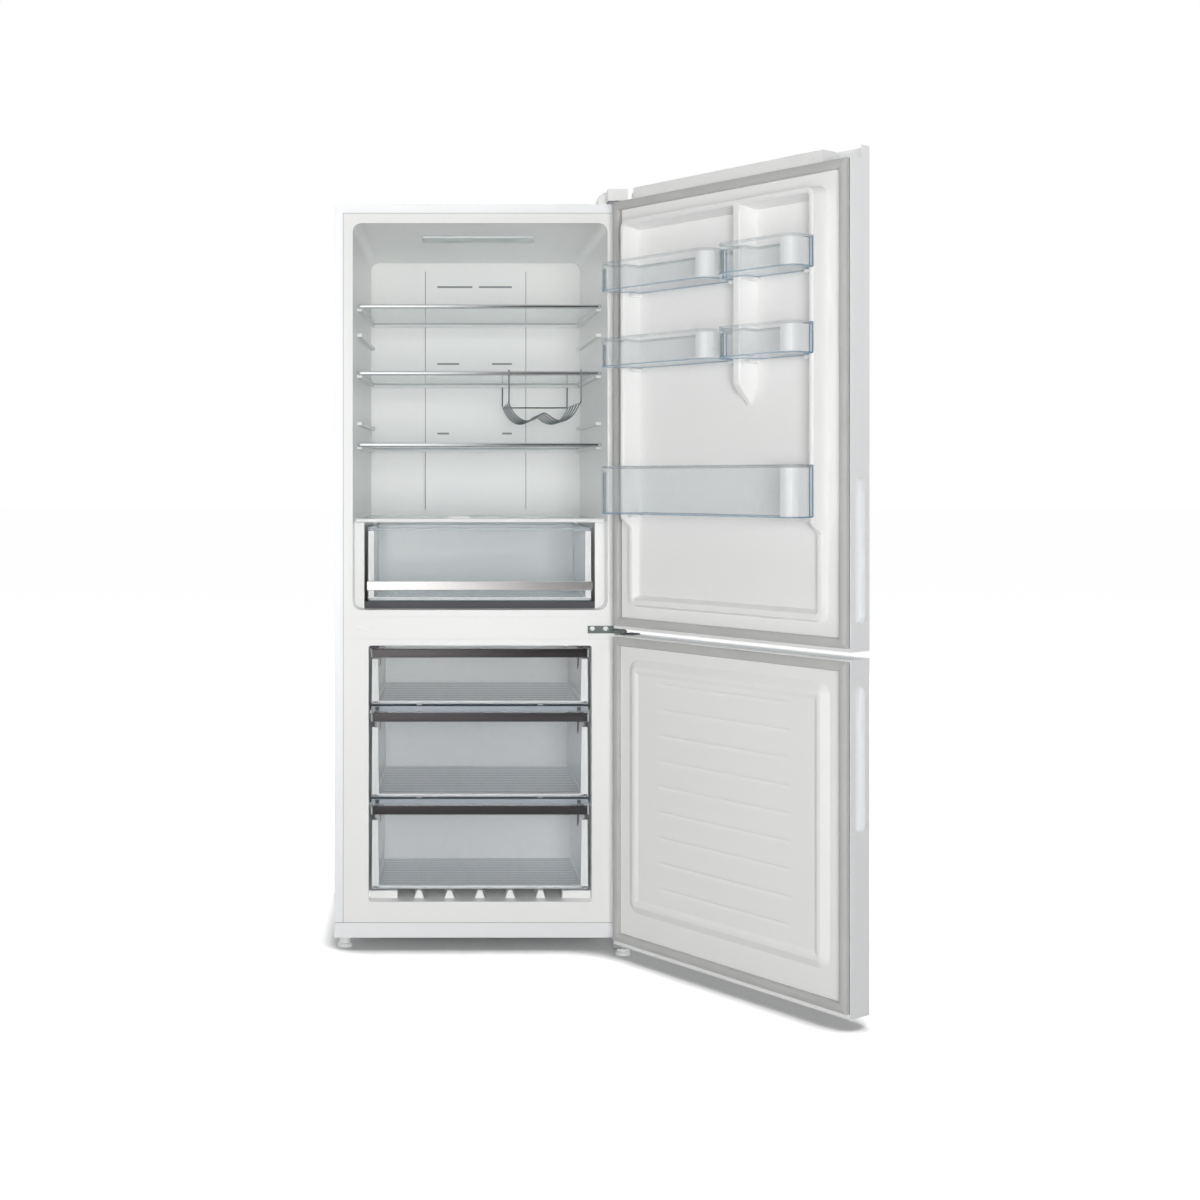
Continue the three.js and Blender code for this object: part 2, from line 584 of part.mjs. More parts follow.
function cabinetFoam() {
  const height = [CABINET_BOTTOM + BASE_PLATE + GAP, CABINET_TOP - STEEL - GAP];
  const body = block([-INNER_HALF, INNER_HALF], [FOAM_FRONT, BACK_PANEL_Y - GAP], height);
  const bay = block([-HALF, HALF], [BAY_FRONT, CABINET_DEPTH], [0, BAY_TOP]);
  return body
    .subtract(fridgeRoom(LINER + GAP, 0))
    .subtract(freezerSpace(LINER + GAP, 0))
    .subtract(bay);
}

function faceSheet(z0, z1) {
  return block([-FACE_HALF, FACE_HALF], [0, LINER], [z0, z1]);
}

// Ledges along both side walls of the fresh food space, from z0 to z1.
function fridgeLedges(width, y0, y1, z0, z1) {
  const slab = block([-HALF, HALF], [y0, y1], [z0, z1]);
  return slab.intersect(fridgeSpace(-LINER / 2, 0)).subtract(fridgeSpace(width, 0, 10));
}

function fridgeLiner() {
  const face = faceSheet(MULLION_TOP + GAP, CABINET_TOP - FLANGE_WIDTH - GAP);
  let liner = fridgeRoom(LINER, 0.1).add(face).subtract(fridgeRoom(0, -1));
  const tops = SHELF_HEIGHTS.map((height) => height - GLASS / 2 - GAP);
  for (const top of [...tops, ...SPARE_RAILS]) {
    liner = liner.add(fridgeLedges(RAIL_WIDTH, RAIL_FRONT, SHELF_BACK, top - RAIL_HEIGHT, top));
  }
  return liner;
}

// White ribs on the freezer's floor, wider at their foot, that carry the lowest drawer, and the
// raised floor at both sides of them.
function floorRibs() {
  const top = FREEZER_FLOOR + FLOOR_RIB_HEIGHT;
  const foot = FREEZER_FLOOR - LINER / 2;
  const [low, high] = [FLOOR_RIB_FOOT / 2, FLOOR_RIB_TOP / 2];
  const y = [DRAWER_FRONT + BAND_DEPTH, LOW_DRAWER_BACK];
  const ribs = [];
  for (let i = 0; i < FLOOR_RIBS; i++) {
    const x = (i - (FLOOR_RIBS - 1) / 2) * FLOOR_RIB_PITCH;
    ribs.push(inwards([[x - low, foot], [x + low, foot], [x + high, top], [x - high, top]], ...y));
  }
  const shoulders = [-1, 1].map((side) => {
    const inner = freezerWall(LOW_DRAWER_BACK) - FLOOR_SHOULDER;
    const x = [side * inner, side * HALF].sort((a, b) => a - b);
    return block(x, y, [foot, top]).intersect(freezerSpace(LINER / 2, 0));
  });
  return joined([...ribs, ...shoulders]);
}

function freezerLiner() {
  const sheet = freezerSpace(LINER, 0.1).add(faceSheet(PLINTH_TOP + GAP, MULLION_BOTTOM - GAP));
  let liner = sheet.subtract(freezerSpace(0, -1)).add(floorRibs());
  for (const shelf of [LOW_SHELF_BOTTOM, HIGH_SHELF_BOTTOM]) {
    for (const side of [-1, 1]) {
      const x = [side * (freezerWall(BACK_FRAME) - LEDGE_WIDTH), side * HALF].sort((a, b) => a - b);
      const z = [shelf - GAP - RAIL_HEIGHT, shelf - GAP];
      const ledge = block(x, [2 * DRAWER_FRONT, BACK_FRAME - BAND_DEPTH], z);
      liner = liner.add(ledge.intersect(freezerSpace(LINER / 2, 0)));
    }
  }
  return liner;
}

function backPanel() {
  const z = [BAY_TOP, CABINET_TOP - STEEL - GAP];
  return block([-INNER_HALF, INNER_HALF], [BACK_PANEL_Y, CABINET_DEPTH], z);
}

// The steel base: floor plate, front plinth, and a fork with its axle over each rear roller.
function baseFrame() {
  const plate = [CABINET_BOTTOM, CABINET_BOTTOM + BASE_PLATE];
  const floor = block([-INNER_HALF, INNER_HALF], [STEEL + GAP, BACK_PANEL_Y - GAP], plate);
  const plinth = block([-FACE_HALF, FACE_HALF], [0, LINER], [CABINET_BOTTOM, PLINTH_TOP]);
  const tie = block([-FACE_HALF, FACE_HALF], [0, LINER + 1], plate);
  const room = ROLLER_WIDTH / 2 + RUN / 2;
  const y = [ROLLER_Y - FORK_HALF, ROLLER_Y + FORK_HALF];
  let base = joined([floor, plinth, tie]);
  for (const side of [-1, 1]) {
    const x = side * ROLLER_SPAN;
    const reach = [ROLLER_Y - ROLLER_RADIUS - RUN, ROLLER_Y + ROLLER_RADIUS + RUN];
    const outer = room + FORK_CHEEK;
    base = base
      .add(block([x - outer, x + outer], y, [ROLLER_RADIUS - FORK_DROP, CABINET_BOTTOM + 1]))
      .subtract(block([x - room, x + room], reach, [0, CABINET_BOTTOM + BASE_PLATE + 1]))
      .add(rod("x", AXLE_RADIUS, [x, ROLLER_Y, ROLLER_RADIUS], 2 * room + FORK_CHEEK));
  }
  return base;
}

function roller(side) {
  const centre = [side * ROLLER_SPAN, ROLLER_Y, ROLLER_RADIUS];
  const tyre = rod("x", ROLLER_RADIUS, centre, ROLLER_WIDTH, 24);
  return tyre.subtract(rod("x", AXLE_RADIUS + GAP, centre, ROLLER_WIDTH + 2));
}

// A levelling foot: a broad pad under a fluted hub, and the screw that goes up to its seat.
function foot(x, y, hubTop, seat) {
  const [hub, screw] = [FOOT_HUB_RADIUS, FOOT_SCREW_RADIUS];
  const profile = [
    [0, 0],
    [FOOT_RADIUS, 0],
    [FOOT_RADIUS, FOOT_PAD],
    [hub, FOOT_PAD + 2],
    [hub, hubTop],
    [screw, hubTop],
    [screw, seat],
    [0, seat],
  ];
  const g = new THREE.LatheGeometry(outline(profile).getPoints(), 16);
  return solid(g.rotateX(Math.PI / 2).translate(x, y, 0));
}

// ---------------------------------------------------------------- inside the fresh food space
// A plate that follows the tapering walls, from y0 to y1.
function taperedPlate(wall, clearance, y0, y1, z0, z1) {
  const front = wall(y0) - clearance;
  const back = wall(y1) - clearance;
  return raised(outline([[-front, y0], [front, y0], [back, y1], [-back, y1]]), z0, z1);
}

// A glass whose front edge sits in the trim that starts at front.
function shelfGlass(height, front) {
  const z = [height - GLASS / 2, height + GLASS / 2];
  const edge = front + TRIM_DEPTH - TRIM_GRIP;
  return taperedPlate(fridgeWall, SHELF_SIDE_CLEARANCE, edge, SHELF_BACK, ...z);
}

// A trim with rounded front edges that grips the front of a glass.
function shelfTrim(height, front) {
  const half = fridgeWall(front) - SHELF_SIDE_CLEARANCE - RUN;
  const back = front + TRIM_DEPTH;
  const [low, high] = [height - TRIM_HEIGHT / 2, height + TRIM_HEIGHT / 2];
  const section = [
    [front + 2, low],
    [back, low],
    [back, high],
    [front + 2, high],
    [front, high - 2],
    [front, low + 2],
  ];
  const slot = [height - GLASS / 2 - GAP, height + GLASS / 2 + GAP];
  const groove = block([-HALF, HALF], [back - TRIM_GRIP - GAP, back + 1], slot);
  return across(section, -half, half).subtract(groove);
}

function humiditySlider() {
  const x = [SLIDER_X - SLIDER_WIDTH / 2, SLIDER_X + SLIDER_WIDTH / 2];
  const [y0, z0] = [COVER_FRONT, COVER_HEIGHT + TRIM_HEIGHT / 2 + GAP];
  const top = z0 + SLIDER_HEIGHT;
  const section = [
    [y0 + 2, z0],
    [y0 + TRIM_DEPTH, z0],
    [y0 + TRIM_DEPTH, top - 1],
    [y0 + 6, top],
    [y0 + 3, top - 2],
  ];
  return across(section, ...x);
}

// The chrome bottle rack: a wire frame hung over a shelf's front trim and over its back edge, with
// a cradle of W shaped wires between the frame's sides.
function bottleRack(shelf) {
  const half = RACK_WIDTH / 2;
  const front = SHELF_FRONT - WIRE / 2 - GAP;
  const back = SHELF_BACK + WIRE / 2 + GAP;
  const over = shelf + TRIM_HEIGHT / 2 + WIRE / 2 + GAP;
  const overGlass = shelf + GLASS / 2 + WIRE / 2 + GAP;
  const height = (y) => shelf - RACK_DROP + RACK_SLOPE * (y - front);
  const bend = 0.5; // keeps the wires of a bend overlapping
  const parts = [];
  for (const side of [-1, 1]) {
    const x = RACK_X + side * half;
    parts.push(wire([x, front, height(front) - bend], [x, front, over + bend]));
    parts.push(wire([x, front - bend, over], [x, SHELF_FRONT + TRIM_DEPTH, over]));
    parts.push(wire([x, front - bend, height(front)], [x, back + bend, height(back)]));
    parts.push(wire([x, back, height(back) - bend], [x, back, overGlass + bend]));
    parts.push(wire([x, back + bend, overGlass], [x, SHELF_BACK - TRIM_DEPTH, overGlass]));
  }
  parts.push(wire([RACK_X - half, back, height(back)], [RACK_X + half, back, height(back)]));
  const lobe = [[-1, 0], [-0.86, -0.34], [-0.66, -0.86], [-0.47, -1], [-0.28, -0.9], [0, -0.57]];
  const path = [...lobe, ...lobe.slice(0, -1).reverse().map(([x, z]) => [-x, z])];
  const pitch = (back - front - 2 * CRADLE_MARGIN) / (CRADLE_WIRES - 1);
  for (let i = 0; i < CRADLE_WIRES; i++) {
    const y = front + CRADLE_MARGIN + i * pitch;
    const points = path.map(([x, z]) => [RACK_X + x * half, y, height(y) + z * CRADLE_DROP]);
    for (let k = 1; k < points.length; k++) parts.push(wire(points[k - 1], points[k], WIRE / 2.2));
  }
  return joined(parts);
}

// An open tray: walls round an XY outline, and a floor.
function tray(outer, inner, z0, z1, floor) {
  return raised(outer, z0, z1).subtract(raised(inner, z0 + floor, z1 + 1));
}

function crisperDrawer() {
  const [w, t] = [CRISPER_HALF, DRAWER_WALL];
  const back = w - CRISPER_DRAFT;
  const [front, rear] = [CRISPER_FRONT, CRISPER_BACK];
  const outer = outline([[-w, front], [w, front], [back, rear], [-back, rear]]);
  const [y0, y1] = [CRISPER_FRONT + t, CRISPER_BACK - t];
  const inner = outline([[t - w, y0], [w - t, y0], [back - t, y1], [t - back, y1]]);
  return tray(outer, inner, CRISPER_BOTTOM, CRISPER_BOTTOM + CRISPER_HEIGHT, t);
}

// A metal band on a drawer's front, its front edges broken by a millimetre.
function drawerBand(half, front, z0, z1) {
  const [y0, y1] = [front - BAND_DEPTH, front - GAP];
  const section = [[y0 + 1, z0], [y1, z0], [y1, z1], [y0 + 1, z1], [y0, z1 - 1], [y0, z0 + 1]];
  return across(section, -half, half);
}

// The dark frame on the floor that the crisper runs on: a plate, two rails and a front bar.
function crisperRunner() {
  const front = PILLAR_HALF - GAP;
  const half = fridgeWall(CRISPER_BACK) - FRIDGE_RADIUS - RUN;
  const z0 = FRIDGE_FLOOR + GAP;
  const top = z0 + RUNNER_HEIGHT;
  const y = [PILLAR_FRONT, CRISPER_BACK];
  return joined([
    block([-half, half], y, [z0, z0 + RUNNER_PLATE]),
    block([-half, RUNNER_RAIL - half], y, [z0, top]),
    block([half - RUNNER_RAIL, half], y, [z0, top]),
    block([-front, front], [PILLAR_FRONT, PILLAR_FRONT + RUNNER_BAR], [z0, top]),
  ]);
}

function slots(y, rows) {
  return joined(rows.map(([x0, x1, z, h]) => block([x0, x1], y, [z - h / 2, z + h / 2])));
}

// The flat cover over the air duct on the back wall, with its rows of outlets.
function airDuctCover() {
  const y = [FRIDGE_DEPTH - GAP - DUCT_THICK, FRIDGE_DEPTH - GAP];
  const plate = block([-DUCT_HALF, DUCT_HALF], y, [DUCT_BOTTOM, DUCT_TOP]);
  const outlets = OUTLET_DROPS.flatMap((drop, i) => [
    [-OUTLET_LEFT, -OUTLET_MIDDLES[i], DUCT_TOP - drop, OUTLET_HEIGHT],
    [OUTLET_MIDDLES[i], OUTLET_RIGHT, DUCT_TOP - drop, OUTLET_HEIGHT],
  ]);
  outlets.push([-VENT_WIDTH / 2, VENT_WIDTH / 2, DUCT_TOP - VENT_DROP, VENT_HEIGHT]);
  return plate.subtract(slots([y[0] - 1, y[1] + 1], outlets));
}

// The diffuser under the ceiling follows the ceiling's slope.
function ceilingLight() {
  const ceiling = (y) => FRIDGE_CEILING - (FRIDGE_CEILING_DRAFT * y) / FRIDGE_DEPTH - GAP;
  const [y0, y1] = [LIGHT_FRONT, LIGHT_BACK];
  const section = [
    [y0 + 4, ceiling(y0 + 4) - LIGHT_THICK],
    [y1 - 4, ceiling(y1 - 4) - LIGHT_THICK],
    [y1, ceiling(y1)],
    [y0, ceiling(y0)],
  ];
  return across(section, -LIGHT_HALF, LIGHT_HALF);
}

// ---------------------------------------------------------------- inside the freezer
function freezerDrawer(bottom, height, back) {
  const [w, r, t] = [DRAWER_BODY_HALF, DRAWER_BACK_HALF, DRAWER_WALL];
  const outer = outline([[-w, DRAWER_FRONT + 1], [w, DRAWER_FRONT + 1], [r, back], [-r, back]]);
  const [y0, y1] = [DRAWER_FRONT + t + 1, back - t];
  const inner = outline([[t - w, y0], [w - t, y0], [r - t, y1], [t - r, y1]]);
  const top = bottom + height;
  const body = tray(outer, inner, bottom, top - DRAWER_LIP, t);
  const face = [-DRAWER_HALF, DRAWER_HALF];
  const front = block(face, [DRAWER_FRONT, DRAWER_FRONT + t + 1], [bottom, top]);
  const skids = [-1, 1].map((side) => {
    const x = side * SKID_X;
    const y = [DRAWER_FRONT + 20, back - 10];
    return block([x - SKID_WIDTH / 2, x + SKID_WIDTH / 2], y, [bottom - SKID_HEIGHT, bottom + 1]);
  });
  return joined([body, front, ...skids]);
}

function freezerShelf(bottom) {
  const [y0, y1] = [DRAWER_FRONT + DRAWER_WALL + 1, BACK_FRAME - DRAWER_BODY_INSET];
  const half = freezerWall(y1) - GAP;
  const plate = block([-half, half], [y0, y1], [bottom, bottom + FREEZER_SHELF]);
  const [inner, rim] = [half - FREEZER_SHELF_RIM, FREEZER_SHELF_END];
  const hollow = [bottom - 1, bottom + FREEZER_SHELF - FREEZER_SHELF_SKIN];
  return plate.subtract(block([-inner, inner], [y0 + rim, y1 - rim], hollow));
}

// The panel that hides the evaporator, with the fan's outlet and the return slots.
function evaporatorCover() {
  const half = freezerWall(FREEZER_DEPTH) - FREEZER_RADIUS;
  const z = [FREEZER_STEP_TOP + GAP, FREEZER_CEILING - RUN];
  const panel = block([-half, half], [BACK_FRAME, BACK_FRAME + PANEL_THICK], z);
  const returns = [
    block([-half, PANEL_EDGE - half], [BACK_FRAME, FREEZER_DEPTH - GAP], z),
    block([half - PANEL_EDGE, half], [BACK_FRAME, FREEZER_DEPTH - GAP], z),
  ];
  const cuts = [];
  for (let i = -2; i <= 2; i++) {
    const rise = i * LOUVRE_PITCH;
    const span = Math.sqrt(FAN_RADIUS ** 2 - rise ** 2);
    cuts.push([-span, span, FAN_Z + rise, LOUVRE_HEIGHT]);
    const x = i * RETURN_PITCH;
    cuts.push([x - RETURN_LENGTH / 2, x + RETURN_LENGTH / 2, z[0] + RETURN_RISE, LOUVRE_HEIGHT]);
  }
  const through = [BACK_FRAME - 1, BACK_FRAME + PANEL_THICK + 1];
  return joined([panel, ...returns]).subtract(slots(through, cuts));
}

// The finned coil that cools the air behind the panel.
function evaporator() {
  const half = FREEZER_HALF - COIL_INSET;
  const [z0, z1] = [FREEZER_STEP_TOP + COIL_BOTTOM_ROOM, FAN_Z - FAN_RADIUS - COIL_TOP_ROOM];
  const [front, back] = [BACK_FRAME + COIL_FRONT_ROOM, FREEZER_DEPTH - GAP];
  let coil = block([-half, half], [front, back], [z0, z1]);
  const pitch = (2 * half) / FINS;
  for (let i = 0; i < FINS; i++) {
    const middle = -half + (i + 0.5) * pitch;
    const x = [middle - pitch / 4, middle + pitch / 4];
    coil = coil.subtract(block(x, [front - 1, front + FIN_DEPTH], [z0 - 1, z1 + 1]));
  }
  return coil;
}

function fanMotor() {
  const back = FREEZER_DEPTH - GAP;
  const can = rod("y", MOTOR_RADIUS, [0, back - MOTOR_DEPTH / 2, FAN_Z], MOTOR_DEPTH, 20);
  const shaft = [0, back - SHAFT_REACH + SHAFT_LENGTH / 2, FAN_Z];
  return can.add(rod("y", SHAFT_RADIUS, shaft, SHAFT_LENGTH));
}

// Four pitched blades on a hub that turns on the motor's shaft.
function fanBlade() {
  const middle = FREEZER_DEPTH - GAP - MOTOR_DEPTH - FAN_OFFSET;
  let fan = rod("y", FAN_HUB, [0, middle, FAN_Z], FAN_HUB, 16);
  for (let i = 0; i < 4; i++) {
    const g = new THREE.BoxGeometry(FAN_RADIUS - FAN_HUB + 1, BLADE_THICK, BLADE_DEPTH);
    g.rotateX(0.42).translate((FAN_RADIUS - RUN + 7) / 2, 0, 0).rotateY((i * Math.PI) / 2);
    fan = fan.add(solid(g.translate(0, middle, FAN_Z)));
  }
  return fan.subtract(rod("y", SHAFT_RADIUS + GAP, [0, middle, FAN_Z], 2 * BLADE_DEPTH));
}

// ---------------------------------------------------------------- machine bay
function compressor() {
  const [r, step] = [COMPRESSOR_RADIUS, COMPRESSOR_FOOT];
  const z0 = CABINET_BOTTOM + BASE_PLATE + GAP;
  const top = z0 + COMPRESSOR_HEIGHT;
  const profile = [
    [0, z0],
    [r - step, z0],
    [r - step, z0 + step],
    [r, z0 + COMPRESSOR_SKIRT],
    [r, top - COMPRESSOR_SHOULDER],
    [r * 0.8, top - COMPRESSOR_CROWN],
    [r * 0.4, top],
    [0, top],
  ];
  const g = new THREE.LatheGeometry(outline(profile).getPoints(), 24);
  return solid(g.rotateX(Math.PI / 2).translate(COMPRESSOR_X, BAY_FRONT + BAY_DEPTH / 2, 0));
}

// The defrost water's tray stands on the compressor's dome.
function drainPan() {
  const [y0, y1] = [BAY_FRONT + PAN_FRONT_ROOM, CABINET_DEPTH - PAN_BACK_ROOM];
  const [x0, x1] = [COMPRESSOR_X - PAN_LENGTH / 2, COMPRESSOR_X + PAN_LENGTH / 2];
  const z0 = CABINET_BOTTOM + BASE_PLATE + COMPRESSOR_HEIGHT + 2 * GAP;
  const t = PAN_WALL;
  const pan = block([x0, x1], [y0, y1], [z0, z0 + PAN_HEIGHT]);
  return pan.subtract(block([x0 + t, x1 - t], [y0 + t, y1 - t], [z0 + t, z0 + PAN_HEIGHT + 1]));
}

// A block along Y about the mains inlet's middle, wider than the inlet by grow on every side.
function inletBlock(y, grow) {
  const x = [INLET_X - INLET_WIDTH / 2 - grow, INLET_X + INLET_WIDTH / 2 + grow];
  return block(x, y, [INLET_Z - INLET_HEIGHT / 2 - grow, INLET_Z + INLET_HEIGHT / 2 + grow]);
}

function rearCover() {
  const y = [BACK_PANEL_Y, CABINET_DEPTH];
  const z = [CABINET_BOTTOM + BASE_PLATE + GAP, BAY_TOP - GAP];
  let cover = block([-INNER_HALF, INNER_HALF], y, z);
  for (let row = 0; row < VENT_ROWS; row++) {
    for (let column = 0; column < VENT_COLUMNS; column++) {
      const x = VENT_X + column * VENT_STEP;
      const z0 = z[0] + VENT_LIFT + row * VENT_PITCH;
      const slot = [z0, z0 + LOUVRE_HEIGHT];
      cover = cover.subtract(block([x, x + VENT_LENGTH], [y[0] - 1, y[1] + 1], slot));
    }
  }
  return cover.subtract(inletBlock([y[0] - 1, y[1] + 1], GAP));
}

// The inlet for the mains lead: a box in the rear cover's hole, with a flange behind the cover.
function mainsInlet() {
  const flange = [BACK_PANEL_Y - GAP - FORK_CHEEK, BACK_PANEL_Y - GAP];
  const back = BACK_PANEL_Y - INLET_DEPTH;
  const body = inletBlock([back, CABINET_DEPTH], 0).add(inletBlock(flange, INLET_FLANGE));
  const axis = [INLET_X, CABINET_DEPTH, INLET_Z];
  const mouth = rod("y", INLET_MOUTH, axis, 2 * INLET_SOCKET, 20);
  const length = [CABINET_DEPTH - INLET_SOCKET - INLET_ROOT, CABINET_DEPTH - 2 * INLET_PIN];
  const pins = [-1, 0, 1].map((i) => {
    const x = INLET_X + i * INLET_PIN_PITCH;
    const width = [x - INLET_PIN / 2, x + INLET_PIN / 2];
    return block(width, length, [INLET_Z - INLET_PIN, INLET_Z + INLET_PIN]);
  });
  return joined([body.subtract(mouth), ...pins]);
}

// ---------------------------------------------------------------- hinges
function pin(z0, z1) {
  return rod("z", PIN_RADIUS, [PIVOT_X, PIVOT_Y, (z0 + z1) / 2], z1 - z0, 16);
}

// A hole for a pin through whatever lies between z0 and z1 at the pivot.
function pinHole(z0, z1) {
  return rod("z", PIN_RADIUS + GAP, [PIVOT_X, PIVOT_Y, (z0 + z1) / 2], z1 - z0, 16);
}

function topHinge() {
  const z0 = CABINET_TOP + GAP;
  const plate = block([PIVOT_X - 32, PIVOT_X + 7], [PIVOT_Y - 14, 68], [z0, z0 + HINGE_PLATE]);
  return plate.add(pin(DOOR_SLAB_TOP - PIN_REACH, z0 + 1));
}

// A white cap over the top hinge, open underneath, narrower where it reaches over the door.
function topHingeCover() {
  const z0 = CABINET_TOP + GAP;
  const top = CABINET_TOP + 28;
  const [left, right] = [PIVOT_X - 54, HALF - 1];
  const over = PIVOT_X - 37;
  const [front, back] = [PIVOT_Y - 20, 78];
  const shell = 2;
  const plan = (inset) => [
    [over + inset, front + inset],
    [right - inset, front + inset],
    [right - inset, back - inset],
    [left + inset, back - inset],
    [left + inset, 3 + inset],
    [over + inset, 3 + inset],
  ];
  const slope = [[left - 1, top + 1], [left - 1, z0 + 18], [left + 14, top + 1]];
  return raised(outline(plan(0)), z0, top)
    .subtract(raised(outline(plan(shell)), z0 - 1, top - shell - 12))
    .subtract(inwards(slope, front - 1, back + 1));
}

// The hinge between the doors: a flange on the mullion, an arm, and a pin into each door.
function middleHinge() {
  const arm = (FREEZER_DOOR_TOP + FRIDGE_DOOR_BOTTOM) / 2;
  const right = PIVOT_X + 9;
  const height = [FREEZER_DOOR_TOP, FRIDGE_DOOR_BOTTOM + 3];
  const flange = block([PIVOT_X - 81, right], [-GAP - 2, -GAP], height);
  const half = HINGE_PLATE / 2;
  const reach = [PIVOT_Y - 2 * PIN_RADIUS, -GAP - 1];
  const tongue = block([PIVOT_X - 24, right], reach, [arm - half, arm + half]);
  const screws = [PIVOT_X - 70, PIVOT_X - 38].map((x) => rod("y", 5.5, [x, -3, arm + 1.5], 3));
  const through = pin(FREEZER_DOOR_TOP - PIN_REACH, FRIDGE_DOOR_BOTTOM + PIN_REACH);
  return joined([flange, tongue, through, ...screws]);
}

// The bottom hinge: a tongue in front of the cabinet on a spacer under it, and one pin.
function bottomHinge() {
  const x = [PIVOT_X - 23, HALF - 1];
  const tongue = block(x, [PIVOT_Y - 14.5, 44], [HINGE_ARM_TOP - HINGE_PLATE, HINGE_ARM_TOP]);
  const spacer = block(x, [4, 44], [HINGE_ARM_TOP - 1, CABINET_BOTTOM - GAP]);
  return joined([tongue, spacer, pin(HINGE_ARM_TOP - 1, FREEZER_DOOR_BOTTOM + PIN_REACH)]);
}

// ---------------------------------------------------------------- doors
// The room of a door's finger grip, with round ends: grown on every side, and past the door's face.
function gripPocket(bottom, grow, outside) {
  const x = [-HALF - outside, -HALF + GRIP_DEPTH + grow];
  const radius = (GRIP_FRONT - GRIP_BACK) / 2;
  const middle = -(GRIP_FRONT + GRIP_BACK) / 2;
  const ends = [bottom + radius, bottom + GRIP_LENGTH - radius];
  const slot = block(x, [middle - radius - grow, middle + radius + grow], ends);
  const length = x[1] - x[0];
  const caps = ends.map((z) => rod("x", radius + grow, [(x[0] + x[1]) / 2, middle, z], length, 20));
  return joined([slot, ...caps]);
}

// The painted skin: front, sides and end returns, with the finger grip pressed into its free side.
// Where sideTop is lower than z1, only the front and a strip of the free side stand above it.
function doorSkin(z0, z1, sideTop, gripBottom, closedTop) {
  const front = -DOOR_THICK;
  const inner = [STEEL - HALF, HALF - STEEL];
  let skin = block([-HALF, HALF], [front, DOOR_BACK], [z0, z1]);
  const y = [front + STEEL, DOOR_BACK + 1];
  skin = skin.subtract(block(inner, y, [z0 + STEEL, closedTop ? z1 - STEEL : z1 + 1]));
  if (sideTop < z1) {
    skin = skin.subtract(block([-HALF - 1, HALF + 1], y, [sideTop, z1 + 1]));
    skin = skin.add(block([-HALF, STEEL - HALF], [front, front + HOUSING_SIDE], [sideTop - 1, z1]));
  }
  const pocket = gripPocket(gripBottom, STEEL, 0).subtract(gripPocket(gripBottom, 0, 1));
  return skin.subtract(gripPocket(gripBottom, 0, 1)).add(pocket);
}

function doorFoam(z0, z1, gripBottom) {
  const body = block(
    [-INNER_HALF, INNER_HALF],
    [-DOOR_THICK + STEEL + GAP, DOOR_BACK - LINER - GAP],
    [z0, z1],
  );
  return body.subtract(gripPocket(gripBottom, STEEL + GAP, 1));
}

function gasket(z0, z1) {
  const seat = DOOR_BACK + GAP;
  const tip = -GAP - 0.2;
  const w = GASKET_WIDTH;
  const profile = [
    [0, seat],
    [0, tip - 3.5],
    [w * 0.35, tip - 0.5],
    [w * 0.6, tip],
    [w * 0.9, tip - 1.5],
    [w, tip - 4.5],
    [w, seat],
  ];
  return frame(profile, HALF - GASKET_EDGE, z0, z1, 1);
}

// The flat sheet of a door liner.
function linerSheet(z0, z1) {
  return block([-INNER_HALF, INNER_HALF], [DOOR_BACK - LINER, DOOR_BACK], [z0, z1]);
}

// The left and right ends of a bin: the pairs lie at both sides of the rib.
function binEnds(i) {
  if (i === WIDE_BIN) return [-BIN_HALF, BIN_HALF];
  return i % 2 ? [-BIN_HALF, BIN_SPLIT_LEFT] : [BIN_SPLIT_RIGHT, BIN_HALF];
}

// The ends of a bin's narrow back part, which fits between the rims and the rib.
function binNeck([x0, x1]) {
  const left = x0 === BIN_SPLIT_RIGHT ? RIB_X + RIB_BASE_HALF + RUN : -BIN_NECK_HALF;
  const right = x1 === BIN_SPLIT_LEFT ? RIB_X - RIB_BASE_HALF - RUN : BIN_NECK_HALF;
  return [left, right];
}

